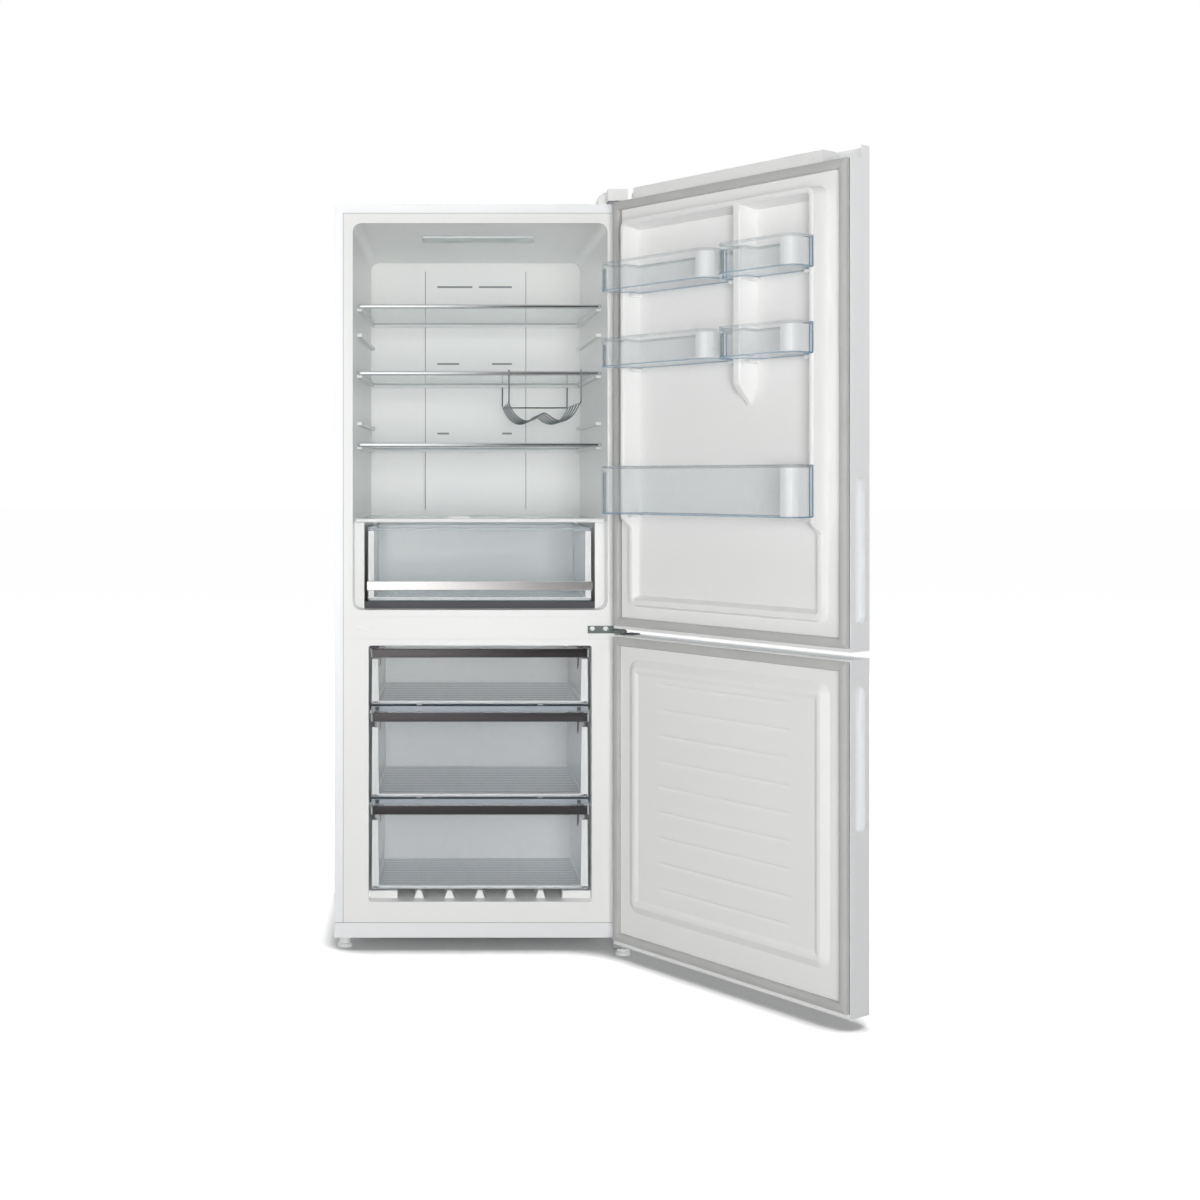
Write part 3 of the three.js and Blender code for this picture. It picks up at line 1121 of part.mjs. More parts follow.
function fridgeDoorLiner() {
  const foot = DOOR_BACK - LINER / 2;
  const rim = [
    [0, foot],
    [5, DYKE_RISE - 3],
    [8, DYKE_RISE],
    [14, DYKE_RISE],
    [18, DYKE_RISE - 5],
    [DYKE_FOOT, foot],
  ];
  const beyond = DYKE_RISE * 3;
  const low = [
    [DYKE_LOW, 0],
    [beyond, 0],
    [beyond, DYKE_STEP + DYKE_STEP_RUN],
    [DYKE_RISE + 1, DYKE_STEP + DYKE_STEP_RUN],
    [DYKE_LOW, DYKE_STEP],
  ];
  const ring = frame(rim, DYKE_HALF, DYKE_BOTTOM, DYKE_TOP, DYKE_RADIUS);
  const dyke = ring.subtract(across(low, -HALF, HALF));
  const rib = raised(
    outline([
      [RIB_X - RIB_BASE_HALF, foot],
      [RIB_X + RIB_BASE_HALF, foot],
      [RIB_X + RIB_TOP_HALF, DYKE_RISE],
      [RIB_X - RIB_TOP_HALF, DYKE_RISE],
    ]),
    RIB_BOTTOM,
    DYKE_TOP - RIB_TOP_INSET,
  );
  const rise = DYKE_RISE - DOOR_BACK;
  const slope = [
    [DOOR_BACK, RIB_BOTTOM - 1],
    [DOOR_BACK + 2 * rise, RIB_BOTTOM - 1],
    [DOOR_BACK + 2 * rise, RIB_BOTTOM + 2 * RIB_RAMP],
    [DOOR_BACK, RIB_BOTTOM],
  ];
  const ramp = across(slope, -HALF, HALF);
  const lugs = BIN_BOTTOMS.flatMap((bottom, i) =>
    binNeck(binEnds(i)).map((end, right) => {
      const outwards = right ? 1 : -1;
      const inner = end - outwards * (LUG_LENGTH - LUG_REACH);
      const x = [inner, end + outwards * LUG_REACH].sort((a, b) => a - b);
      return block(x, [foot, LUG_RISE], [bottom - GAP - LUG_HEIGHT, bottom - GAP]);
    }),
  );
  const sheet = linerSheet(FRIDGE_DOOR_BOTTOM + STEEL + GAP, DOOR_SLAB_TOP - 1);
  return joined([sheet, dyke, rib.subtract(ramp), ...lugs]);
}

// The freezer door's liner: a raised field with sloped edges, a sunk middle and level grooves.
function freezerDoorLiner() {
  const crest = DOOR_BACK + PLATEAU_RISE;
  const section = (y, half, inset) => [
    y,
    half,
    PLATEAU_BOTTOM + inset,
    PLATEAU_TOP - inset,
    PLATEAU_RADIUS,
  ];
  const half = PLATEAU_HALF - PLATEAU_SIDE_SLOPE;
  const field = loft([
    section(DOOR_BACK - LINER / 2, PLATEAU_HALF, 0),
    section(crest, half, PLATEAU_END_SLOPE),
  ]);
  const rim = PLATEAU_END_SLOPE + PLATEAU_RIM;
  const sink = loft([
    section(crest - PLATEAU_SINK, half - PLATEAU_RIM, rim),
    section(crest + 1, half - PLATEAU_RIM, rim),
  ]);
  const floor = crest - PLATEAU_SINK;
  const grooves = [];
  for (let i = 0; i < GROOVES; i++) {
    const top = PLATEAU_TOP - GROOVE_DROP - i * GROOVE_PITCH;
    const height = [top - GROOVE_WIDTH, top];
    grooves.push(block([-GROOVE_HALF, GROOVE_HALF], [floor - GROOVE_DEPTH, floor + 1], height));
  }
  const z = [FREEZER_DOOR_BOTTOM + STEEL + GAP, FREEZER_DOOR_TOP - STEEL - GAP];
  return linerSheet(...z).add(field).subtract(sink).subtract(joined(grooves));
}

// The cap on the fridge door: a plate over the slab, and the raised housing along it.
function doorTopCap() {
  const y = [-DOOR_THICK + STEEL + GAP, DOOR_BACK - LINER - GAP];
  const plate = block([-INNER_HALF, INNER_HALF], y, [DOOR_SLAB_TOP - CAP_PLATE, DOOR_SLAB_TOP]);
  const rise = [DOOR_SLAB_TOP - 1, FRIDGE_DOOR_TOP - 1];
  const housing = block([HOUSING_LEFT, HOUSING_RIGHT], [y[0], -HOUSING_BACK], rise);
  return plate.add(housing).subtract(pinHole(DOOR_SLAB_TOP - 10, DOOR_SLAB_TOP + 10));
}

// A door bin: wide in front of the rims with rounded corners, narrow between them.
function binOutline(x0, x1, neck, inset) {
  const shoulder = DYKE_RISE + RUN / 2 + inset;
  const [left, right] = [x0 + inset, x1 - inset];
  const [back, front] = [BIN_BACK + inset, BIN_FRONT - inset];
  const r = BIN_CORNER - inset;
  const shape = new THREE.Shape();
  shape.moveTo(Math.max(neck[0] + inset, left), back);
  shape.lineTo(Math.min(neck[1] - inset, right), back);
  shape.lineTo(Math.min(neck[1] - inset, right), shoulder);
  shape.lineTo(right, shoulder);
  shape.lineTo(right, front - r);
  shape.absarc(right - r, front - r, r, 0, Math.PI / 2);
  shape.absarc(left + r, front - r, r, Math.PI / 2, Math.PI);
  shape.lineTo(left, shoulder);
  shape.lineTo(Math.max(neck[0] + inset, left), shoulder);
  shape.closePath();
  return shape;
}

function doorBin(i) {
  const [x0, x1] = binEnds(i);
  const neck = binNeck([x0, x1]);
  const height = i === WIDE_BIN ? LARGE_BIN_HEIGHT : SMALL_BIN_HEIGHT;
  const z0 = BIN_BOTTOMS[i];
  const outer = binOutline(x0, x1, neck, 0);
  return tray(outer, binOutline(x0, x1, neck, BIN_WALL), z0, z0 + height, BIN_WALL);
}

// ---------------------------------------------------------------- assembly
const appliance = new THREE.Group();

function addCabinet() {
  appliance.add(
    piece("cabinet_shell", "paint", cabinetShell()),
    piece("back_panel", "zinc", backPanel()),
    piece("cabinet_foam", "foam", cabinetFoam()),
    piece("fridge_liner", "liner", fridgeLiner()),
    piece("freezer_liner", "liner", freezerLiner()),
    piece("mullion_cover", "liner", faceSheet(MULLION_BOTTOM, MULLION_TOP)),
    piece("base_frame", "paint", baseFrame()),
    piece("foot_left", "clear", foot(FOOT_X, FOOT_Y, FOOT_HUB_TOP, CABINET_BOTTOM - GAP)),
    piece("foot_right", "clear", foot(PIVOT_X, PIVOT_Y, FOOT_SEAT - 4, FOOT_SEAT)),
    piece("roller_left", "dark", roller(-1)),
    piece("roller_right", "dark", roller(1)),
  );
}

function addFreshFood() {
  SHELF_HEIGHTS.forEach((height, i) => {
    appliance.add(piece("shelf_glass_" + (i + 1), "glass", shelfGlass(height, SHELF_FRONT)));
    appliance.add(piece("shelf_trim_" + (i + 1), "chrome", shelfTrim(height, SHELF_FRONT)));
  });
  const handle = CRISPER_BOTTOM + CRISPER_HANDLE_RISE;
  const band = drawerBand(CRISPER_HALF, CRISPER_FRONT, handle, handle + CRISPER_HANDLE_HEIGHT);
  appliance.add(
    piece("bottle_rack", "chrome", bottleRack(SHELF_HEIGHTS[1])),
    piece("crisper_cover_glass", "glass", shelfGlass(COVER_HEIGHT, COVER_FRONT)),
    piece("crisper_cover_trim", "liner", shelfTrim(COVER_HEIGHT, COVER_FRONT)),
    piece("humidity_slider", "liner", humiditySlider()),
    piece("crisper_drawer", "clear", crisperDrawer()),
    piece("crisper_handle", "chrome", band),
    piece("crisper_runner", "dark", crisperRunner()),
    piece("air_duct_cover", "liner", airDuctCover()),
    piece("ceiling_light", "clear", ceilingLight()),
  );
}

function addFreezer() {
  const drawers = [
    [TOP_DRAWER_BOTTOM, TOP_DRAWER_HEIGHT, DRAWER_BACK],
    [MIDDLE_DRAWER_BOTTOM, MIDDLE_DRAWER_HEIGHT, DRAWER_BACK],
    [LOW_DRAWER_BOTTOM, LOW_DRAWER_HEIGHT, LOW_DRAWER_BACK],
  ];
  drawers.forEach(([bottom, height, back], i) => {
    const top = bottom + height;
    const trim = drawerBand(DRAWER_HALF, DRAWER_FRONT, top - DRAWER_TRIM_HEIGHT, top);
    appliance.add(piece("freezer_drawer_" + (i + 1), "clear", freezerDrawer(bottom, height, back)));
    appliance.add(piece("freezer_trim_" + (i + 1), "chrome", trim));
  });
  appliance.add(
    piece("freezer_shelf_1", "glass", freezerShelf(HIGH_SHELF_BOTTOM)),
    piece("freezer_shelf_2", "glass", freezerShelf(LOW_SHELF_BOTTOM)),
    piece("evaporator_cover", "liner", evaporatorCover()),
    piece("evaporator", "aluminium", evaporator()),
    piece("fan_motor", "black", fanMotor()),
    piece("fan_blade", "grey", fanBlade()),
  );
}

function addMachineBay() {
  appliance.add(
    piece("compressor", "black", compressor()),
    piece("drain_pan", "grey", drainPan()),
    piece("rear_cover", "zinc", rearCover()),
    piece("mains_inlet", "black", mainsInlet()),
  );
}

function addHinges() {
  appliance.add(
    piece("top_hinge", "zinc", topHinge()),
    piece("top_hinge_cover", "liner", topHingeCover()),
    piece("middle_hinge", "zinc", middleHinge()),
    piece("bottom_hinge", "zinc", bottomHinge()),
  );
}

// A group whose pieces are built as the shut door and which stands open about the hinge line.
function openDoor(pieces) {
  const shut = new THREE.Group();
  shut.position.set(-PIVOT_X, -PIVOT_Y, 0);
  shut.add(...pieces);
  const swung = new THREE.Group();
  swung.position.set(PIVOT_X, PIVOT_Y, 0);
  swung.rotation.z = THREE.MathUtils.degToRad(DOOR_OPEN);
  swung.add(shut);
  appliance.add(swung);
}

function addDoors() {
  const upperHole = pinHole(FRIDGE_DOOR_BOTTOM - 1, FRIDGE_DOOR_BOTTOM + PIN_REACH + 1);
  const topHole = pinHole(DOOR_SLAB_TOP - PIN_REACH - 1, DOOR_SLAB_TOP + 1);
  const lowerHoles = pinHole(FREEZER_DOOR_BOTTOM - 1, FREEZER_DOOR_BOTTOM + PIN_REACH + 1).add(
    pinHole(FREEZER_DOOR_TOP - PIN_REACH - 1, FREEZER_DOOR_TOP + 1),
  );
  const [low, top] = [FRIDGE_DOOR_BOTTOM, DOOR_SLAB_TOP];
  const upperSkin = doorSkin(low, FRIDGE_DOOR_TOP, top - 1, FRIDGE_GRIP_BOTTOM, false);
  const upperFoam = doorFoam(low + STEEL + GAP, top - CAP_PLATE - GAP, FRIDGE_GRIP_BOTTOM);
  openDoor([
    piece("fridge_door_skin", "paint", upperSkin.subtract(upperHole)),
    piece("fridge_door_foam", "foam", upperFoam.subtract(upperHole).subtract(topHole)),
    piece("fridge_door_liner", "liner", fridgeDoorLiner()),
    piece("fridge_gasket", "gasket", gasket(FRIDGE_GASKET_BOTTOM, FRIDGE_GASKET_TOP)),
    piece("fridge_door_cap", "liner", doorTopCap()),
    ...BIN_BOTTOMS.map((_, i) => piece("door_bin_" + (i + 1), "clear", doorBin(i))),
  ]);
  const inside = [FREEZER_DOOR_BOTTOM + STEEL + GAP, FREEZER_DOOR_TOP - STEEL - GAP];
  const [bottom, high] = [FREEZER_DOOR_BOTTOM, FREEZER_DOOR_TOP];
  const lowerSkin = doorSkin(bottom, high, high, FREEZER_GRIP_BOTTOM, true);
  openDoor([
    piece("freezer_door_skin", "paint", lowerSkin.subtract(lowerHoles)),
    piece("freezer_door_foam", "foam", doorFoam(...inside, FREEZER_GRIP_BOTTOM).subtract(lowerHoles)),
    piece("freezer_door_liner", "liner", freezerDoorLiner()),
    piece("freezer_gasket", "gasket", gasket(FREEZER_GASKET_BOTTOM, FREEZER_GASKET_TOP)),
  ]);
}

addCabinet();
addFreshFood();
addFreezer();
addMachineBay();
addHinges();
addDoors();

// The part's origin is the middle of its footprint, on the floor.
appliance.updateMatrixWorld(true);
const reach = new THREE.Box3().setFromObject(appliance, true);
appliance.position.set(-(reach.min.x + reach.max.x) / 2, -(reach.min.y + reach.max.y) / 2, -reach.min.z);

export default appliance;
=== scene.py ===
"""A bottom freezer refrigerator with both doors open: its finishes and the finer shapes of its pieces.

Sizes are in millimetres in the cabinet's own place: X from the cabinet's middle to the right, Y from
its front plane to the back, Z up from the floor. A door's pieces are worked out as the door is shut,
with X and Y as before, and are then swung open about its hinge line.
"""

import json
import math

import bmesh
import bpy
import numpy as np
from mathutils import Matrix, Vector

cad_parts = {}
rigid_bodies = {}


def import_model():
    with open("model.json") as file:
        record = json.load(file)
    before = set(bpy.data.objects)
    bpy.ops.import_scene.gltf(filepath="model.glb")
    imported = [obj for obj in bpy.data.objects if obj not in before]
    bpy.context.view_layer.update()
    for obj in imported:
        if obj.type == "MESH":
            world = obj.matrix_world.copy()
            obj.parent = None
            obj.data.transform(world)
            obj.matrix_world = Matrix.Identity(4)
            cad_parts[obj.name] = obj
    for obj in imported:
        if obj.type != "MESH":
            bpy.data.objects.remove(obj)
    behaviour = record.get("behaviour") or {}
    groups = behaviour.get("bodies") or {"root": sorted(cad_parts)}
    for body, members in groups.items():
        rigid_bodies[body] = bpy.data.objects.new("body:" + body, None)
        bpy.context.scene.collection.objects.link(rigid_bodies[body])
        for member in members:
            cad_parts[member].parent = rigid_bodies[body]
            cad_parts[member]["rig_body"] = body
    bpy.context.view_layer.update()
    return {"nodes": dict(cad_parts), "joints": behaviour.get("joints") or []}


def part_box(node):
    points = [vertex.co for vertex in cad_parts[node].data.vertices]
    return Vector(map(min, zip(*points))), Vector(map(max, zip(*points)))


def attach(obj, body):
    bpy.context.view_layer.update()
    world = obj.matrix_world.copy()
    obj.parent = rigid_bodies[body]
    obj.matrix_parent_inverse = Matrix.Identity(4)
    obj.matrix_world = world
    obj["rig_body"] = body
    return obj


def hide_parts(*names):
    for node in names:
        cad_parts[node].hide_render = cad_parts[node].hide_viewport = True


bl_info = {
    "name": "Bottom freezer refrigerator",
    "version": (1, 0, 0),
    "blender": (4, 5, 0),
    "location": "3D View > Sidebar > Refrigerator",
    "description": "Builds the finishes and the finer pieces of a bottom freezer refrigerator",
    "category": "Add Mesh",
}

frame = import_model()
NODES = frame["nodes"]

# ------------------------------------------------------------------ places taken from the frame
MM = 0.001
SHELL_LOW, SHELL_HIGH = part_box("cabinet_shell")
ORIGIN = np.array([(SHELL_LOW.x + SHELL_HIGH.x) / 2, SHELL_LOW.y, 0.0])
HINGE = next(j for j in frame["joints"] if j["name"] == "fridge_door_hinge")
PIVOT = (np.array(HINGE["pos_m"]) - ORIGIN) / MM
OPEN_ANGLE = math.radians(-HINGE["range_deg"][0])


def span(node):
    """A node's lowest and highest corners in the cabinet's millimetres."""
    low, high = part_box(node)
    return (np.array(low) - ORIGIN) / MM, (np.array(high) - ORIGIN) / MM


def srgb(red, green, blue):
    """A screen colour of 0 to 255 as linear light."""
    c = np.array([red, green, blue]) / 255
    return tuple(float(v) for v in np.where(c <= 0.04045, c / 12.92, ((c + 0.055) / 1.055) ** 2.4))


# ------------------------------------------------------------------ sizes of the pieces
# Shelves: the middle of each glass, the metal trim in front, and the strip under the back edge
SHELVES, GLASS, SHELF_BACK, GAP = (1556.4, 1391.6, 1215.0), 4.0, 556.0, 0.3
TRIM_FRONT, TRIM_DEPTH, TRIM_HEIGHT, TRIM_CAP = 106.0, 10.0, 10.0, 6.0
STRIP_HALF = 284.0

# Cabinet: painted shade lines in the joins at its front, the plug's X and Z, the hinge's screws, and the
# duct's outlets, which are filled with painted shade
SEAM_SHADE_HALF, SEAM_SHADE_FRONT, SEAM_SHADE_BACK = 348.5, -0.25, 0.2
PLUG_LOW, PLUG_HIGH = (-299.0, 768.0), (-256.0, 777.0)
SCREW_X, SCREW_Z, SCREW_RADIUS = (269.0, 301.0), 771.0, 6.4
OUTLET_DROPS, OUTLET_MIDDLES = (47.0, 258.0, 449.0), (9.0, 45.0, 73.0)
OUTLET_LEFT, OUTLET_RIGHT = 105.0, 99.5

# Bottle rack: the drop of its frame under the middle shelf, the frame's rise along Y, and its wires
RACK_DROP, RACK_SLOPE, RACK_BEND = 72.0, 0.014, 5.0
LOBE_DEPTH, LOBE_WIRES, LOBE_MARGIN = 45.0, 5, 34.0

# Drawers: half widths, the height and X of the skids, the band's plastic ends, how much lower the
# posts of the two larger drawers end, and the ends in X and the length of the catches
CRISPER_POST, CRISPER_SILL = 264.0, 268.0
DRAWER_FRONT, DRAWER_WALL, DRAWER_TAIL, DRAWER_RIB, DRAWER_SILL = 264.0, 256.0, 245.0, 238.0, 261.0
DRAWER_LIFT, SKID_X, BAND_CAP, POST_DROP = 4.7, 147.2, 5.0, 10.0
POST_FOOT, POST_HEAD = ((244.0, 3.7), (262.0, 9.0)), ((246.5, 3.7), (261.0, 9.0))
CATCHES = ((-242.0, -239.6, 20.0), (235.5, 240.5, 28.0))
CLIP_X = (-248.0, 240.0)
STOP_LOW, STOP_HIGH = (244.0, 14.0, 724.5), (266.0, 30.0, 731.0)

# Doors, shut: the liner's face, its sheet, the painted shade lines beside the seals in X, and the fridge
# door's rim and rib
DOOR_BACK, SHEET, SHEET_HALF = -12.0, 1.5, 348.5
SEAL_SHADE_FREE, SEAL_SHADE_HINGE = (-347.2, -345.4), (323.2, 324.7)
DOOR_STOP_LOW, DOOR_STOP_HIGH = (316.0, -66.0, 760.4), (346.0, -39.0, 763.2)
FRIDGE_SHEET, FREEZER_SHEET = (776.9, 1788.8), (26.0, 758.9)
DYKE_HALF, DYKE_BOTTOM, DYKE_TOP, DYKE_RADIUS = 292.0, 831.0, 1740.0, 26.0
DYKE_RISE, DYKE_LOW, DYKE_STEP, DYKE_RUN, DYKE_FOOT = 30.0, 2.0, 1012.0, 32.0, 28.0
RIB_X, RIB_BOTTOM, RIB_RAMP = -75.0, 1287.0, 54.0
# Freezer door: half width, bottom and top of its rim, the sunk field, and the field's grooves, with
# how far a groove reaches above and below its middle
PLATEAU, PLATEAU_RADIUS = (298.0, 111.0, 709.0), 30.0
PLATEAU_RISE, PLATEAU_SINK = 10.0, 4.0
GROOVES, GROOVE_PITCH, GROOVE_TOP = 9, 58.8, 658.0
GROOVE_DEPTH, GROOVE_HALF, GROOVE_FADE = 2.2, 178.0, 25.0
NOTCH_UP, NOTCH_DOWN = 1.8, 4.5

# Door bins: the wide bin's half width, the small bins' ends at the rib, the plan, and each bin's
# bottom and height
BIN_HALF, BIN_SPLIT, NECK_HALF, RIB_CLEAR = 290.0, (-75.0, -52.0), 262.0, 24.0
BIN_BACK, BIN_SHOULDER, BIN_FRONT, BIN_CORNER, BIN_WALL = -11.7, 31.0, 98.5, 25.2, 2.5
BIN_FLOOR, CAP_DROP, FLUTE_DROP = 3.1, 6.5, 14.0
BINS = ((1563.0, 66.0), (1566.0, 66.0), (1388.5, 66.0), (1388.5, 66.0), (1050.0, 110.0))

# Stage: clear walls that light passes in a row, times that light is thrown on inside a white space,
# and for each lamp its name, its place and side in metres, and the setting that holds its power
CLEAR_LAYERS, WHITE_BOUNCES = 40, 8
LAMP_AIM = (0.0, 0.2, 0.95)
LAMPS = (
    ("key_lamp", (0.1, -5.5, 1.15), 1.8, "key_light"),
    ("left_lamp", (-4.2, -3.6, 1.6), 2.0, "left_light"),
    ("right_lamp", (4.2, -3.6, 1.6), 2.0, "right_light"),
    ("top_lamp", (0.1, 0.6, 5.0), 2.5, "top_light"),
    ("back_lamp_-1", (-4.5, 4.0, 1.7), 2.5, "back_light"),
    ("back_lamp_1", (4.5, 4.0, 1.7), 2.5, "back_light"),
)
CAMERA_PLACE = (-86.46, -3934.62, 1127.17)
LENS, LENS_SHIFT = 49.18, (0.1299, -0.0996)


# ------------------------------------------------------------------ surfaces worked out with numpy
def shell(points, quads, caps=(), marks=None):
    """A closed skin of four-sided faces and flat end faces. Its volume is the sum of the pyramids
    from the origin to its faces, and where that is negative every face is turned round."""
    fans = [quads[:, [0, 1, 2]], quads[:, [0, 2, 3]]]
    fans += [np.stack([np.full(len(c) - 2, c[0]), c[1:-1], c[2:]], -1) for c in caps]
    corners = points[np.concatenate(fans)]
    volume = np.einsum("ij,ij->", corners[:, 0], np.cross(corners[:, 1], corners[:, 2]))
    faces = quads.tolist() + [list(c) for c in caps]
    if volume < 0:
        faces = [face[::-1] for face in faces]
    if marks is None:
        marks = np.zeros(len(faces), int)
    return points, faces, np.asarray(marks)


def stacked(loops, closed=False, bands=None):
    """Loops of equal point counts joined into one skin, ring i to ring i + 1: closed on itself, or
    with flat ends. bands gives the material number of each step and then of the two ends."""
    loops = np.asarray(loops, float)
    rings, count = loops.shape[:2]
    steps = rings if closed else rings - 1
    here = np.arange(steps)[:, None] * count
    there = (here + count) % (rings * count)
    i = np.arange(count)[None]
    j = (i + 1) % count
    quads = np.stack([here + i, here + j, there + j, there + i], -1).reshape(-1, 4)
    caps = () if closed else (np.arange(count)[::-1], np.arange(count) + (rings - 1) * count)
    marks = None
    if bands is not None:
        marks = np.repeat(np.asarray(bands[:steps], int), count)
        if not closed:
            marks = np.append(marks, bands[steps:])
    return shell(loops.reshape(-1, 3), quads, caps, marks)


def merged(*shells):
    """Several skins as one mesh."""
    points = np.concatenate([s[0] for s in shells])
    starts = np.cumsum([0] + [len(s[0]) for s in shells[:-1]])
    faces = [[v + start for v in face] for s, start in zip(shells, starts) for face in s[1]]
    return points, faces, np.concatenate([s[2] for s in shells])


def rounded(corners, radii, inset=0.0, steps=6):
    """An anticlockwise outline with each edge moved inwards by inset and each corner replaced by
    an arc that touches both of its edges."""
    p = np.asarray(corners, float)
    r = np.broadcast_to(np.asarray(radii, float), len(p))
    along = np.roll(p, -1, 0) - p
    along /= np.linalg.norm(along, axis=1, keepdims=True)
    inward = np.stack([-along[:, 1], along[:, 0]], 1)
    before, inward_before = np.roll(along, 1, 0), np.roll(inward, 1, 0)
    turn = np.arctan2(
        before[:, 0] * along[:, 1] - before[:, 1] * along[:, 0], (before * along).sum(1)
    )
    share = 1 + (inward_before * inward).sum(1)
    corner = p + inset * (inward_before + inward) / share[:, None]
    radius = np.maximum(r - inset * np.sign(turn), 0.05)
    start = corner - before * (radius * np.tan(np.abs(turn) / 2))[:, None]
    centre = start + inward_before * (radius * np.sign(turn))[:, None]
    arm = start - centre
    angle = turn[:, None] * np.linspace(0, 1, steps)
    cos, sin = np.cos(angle), np.sin(angle)
    arc = np.stack(
        [arm[:, :1] * cos - arm[:, 1:] * sin, arm[:, :1] * sin + arm[:, 1:] * cos], -1
    )
    return (centre[:, None] + arc).reshape(-1, 2)


def smooth(t):
    """An even rise from 0 to 1: three t squared less two t cubed, flat beyond both ends."""
    t = np.clip(t, 0, 1)
    return t * t * (3 - 2 * t)


def level(outline, z):
    """A plan outline of X and Y at one height."""
    return np.column_stack([outline, np.full(len(outline), z)])


def upright(outline, y):
    """An outline of X and Z at one depth, or at a depth for each of its points."""
    return np.column_stack([outline[:, 0], y * np.ones(len(outline)), outline[:, 1]])


def around(centre, radius, angle):
    """Points at a radius from a centre, in the directions of angle."""
    return np.column_stack([centre[0] + radius * np.cos(angle), centre[1] + radius * np.sin(angle)])


def bar(profile, x0, x1, soften=0.0):
    """A profile of Y and Z points carried along X, its ends drawn in a little by soften."""
    middle = profile.mean(0)
    size = np.ptp(profile, axis=0).min() / 2
    ends = [(x0, 1 - soften / size), (x0 + soften, 1), (x1 - soften, 1), (x1, 1 - soften / size)]
    if not soften:
        ends = [(x0, 1), (x1, 1)]
    loops = [
        np.column_stack([np.full(len(profile), x), middle + (profile - middle) * scale])
        for x, scale in ends
    ]
    return stacked(loops)


def corners_of(low, high):
    """The four corners of a rectangle, anticlockwise from the low one."""
    return [(low[0], low[1]), (high[0], low[1]), (high[0], high[1]), (low[0], high[1])]


def box_profile(low, high, radius, steps=4):
    """A rounded rectangle between its low and its high corner."""
    return rounded(corners_of(low, high), radius, steps=steps)


def rod(low, high, radius, soften=0.0):
    """A bar along X with rounded long edges, between its low and its high corner."""
    return bar(box_profile(low[1:], high[1:], radius), low[0], high[0], soften)


def block(low, high, radius, steps=3):
    """A block with rounded edges: its plan is a rounded rectangle, drawn in over a quarter circle
    at its foot and at its top."""
    t = np.linspace(0, math.pi / 2, steps + 1)
    rises = radius * (1 - np.cos(t))
    plans = [
        rounded(corners_of(low, high), radius + 0.01, inset, steps)
        for inset in radius * (1 - np.sin(t))
    ]
    foot = [level(plan, low[2] + rise) for plan, rise in zip(plans, rises)]
    top = [level(plan, high[2] - rise) for plan, rise in zip(plans, rises)]
    return stacked(foot + top[::-1])


def tube(path, radius, normal, sides=10):
    """A round wire along a flat path: at each point a circle in the plane of the path's normal and
    of the direction square to the path."""
    path = np.asarray(path, float)
    ahead = np.gradient(path, axis=0)
    ahead /= np.linalg.norm(ahead, axis=1, keepdims=True)
    normal = np.asarray(normal, float)
    side = np.cross(ahead, normal)
    side /= np.linalg.norm(side, axis=1, keepdims=True)
    angle = np.linspace(0, 2 * math.pi, sides, endpoint=False)
    ring = side[:, None] * np.cos(angle)[None, :, None] + normal * np.sin(angle)[None, :, None]
    return stacked(path[:, None] + radius * ring)


def curved(points, steps=8):
    """A smooth path through its points: between two of them, the cubic whose slope at each is half
    the step from the point before to the point after."""
    p = np.asarray(points, float)
    padded = np.concatenate([2 * p[:1] - p[1:2], p, 2 * p[-1:] - p[-2:-1]])
    a, b, c, d = padded[:-3, None], padded[1:-2, None], padded[2:-1, None], padded[3:, None]
    t = np.linspace(0, 1, steps, endpoint=False)[None, :, None]
    inner = 0.5 * (
        2 * b + (c - a) * t + (2 * a - 5 * b + 4 * c - d) * t**2 + (3 * b - a - 3 * c + d) * t**3
    )
    return np.concatenate([inner.reshape(-1, p.shape[1]), p[-1:]])


def ring_path(half, z0, z1, radius, inset, levels, steps=8):
    """Points round a rounded rectangle of X and Z, with extra points at the given heights on both
    long sides, drawn in by inset."""
    outline = rounded(
        [(-half, z0), (half, z0), (half, z1), (-half, z1)], radius, inset, steps
    ).reshape(4, steps, 2)
    right = np.column_stack([np.full(len(levels), half - inset), levels])
    left = right[::-1] * [-1, 1]
    return np.concatenate([outline[0], outline[1], right, outline[2], outline[3], left])


def frame_round(profile, half, z0, z1, radius, levels=(), height=None):
    """A closed profile of inset and Y points carried round a rounded rectangle of X and Z. Where
    height is given, it scales the profile's rise at each place."""
    loops = []
    levels = np.asarray(levels, float)
    foot = profile[:, 1].min()
    for inset, y in profile:
        ring = ring_path(half, z0, z1, radius, inset, levels)
        share = 1.0 if height is None else height(ring[:, 1])
        loops.append(upright(ring, foot + (y - foot) * share))
    return stacked(loops, closed=True)


def relief(x, z, back, height):
    """A slab with a flat back and a front whose Y is a function of X and Z on a grid."""
    grid_x, grid_z = np.meshgrid(x, z, indexing="ij")
    y = height(grid_x, grid_z)
    front = np.stack([grid_x, y, grid_z], -1)
    depth = np.full(len(x), back)
    rear = np.stack([np.column_stack([x, depth, np.full(len(x), end)]) for end in (z[-1], z[0])], 1)
    return stacked(np.concatenate([front, rear], 1))


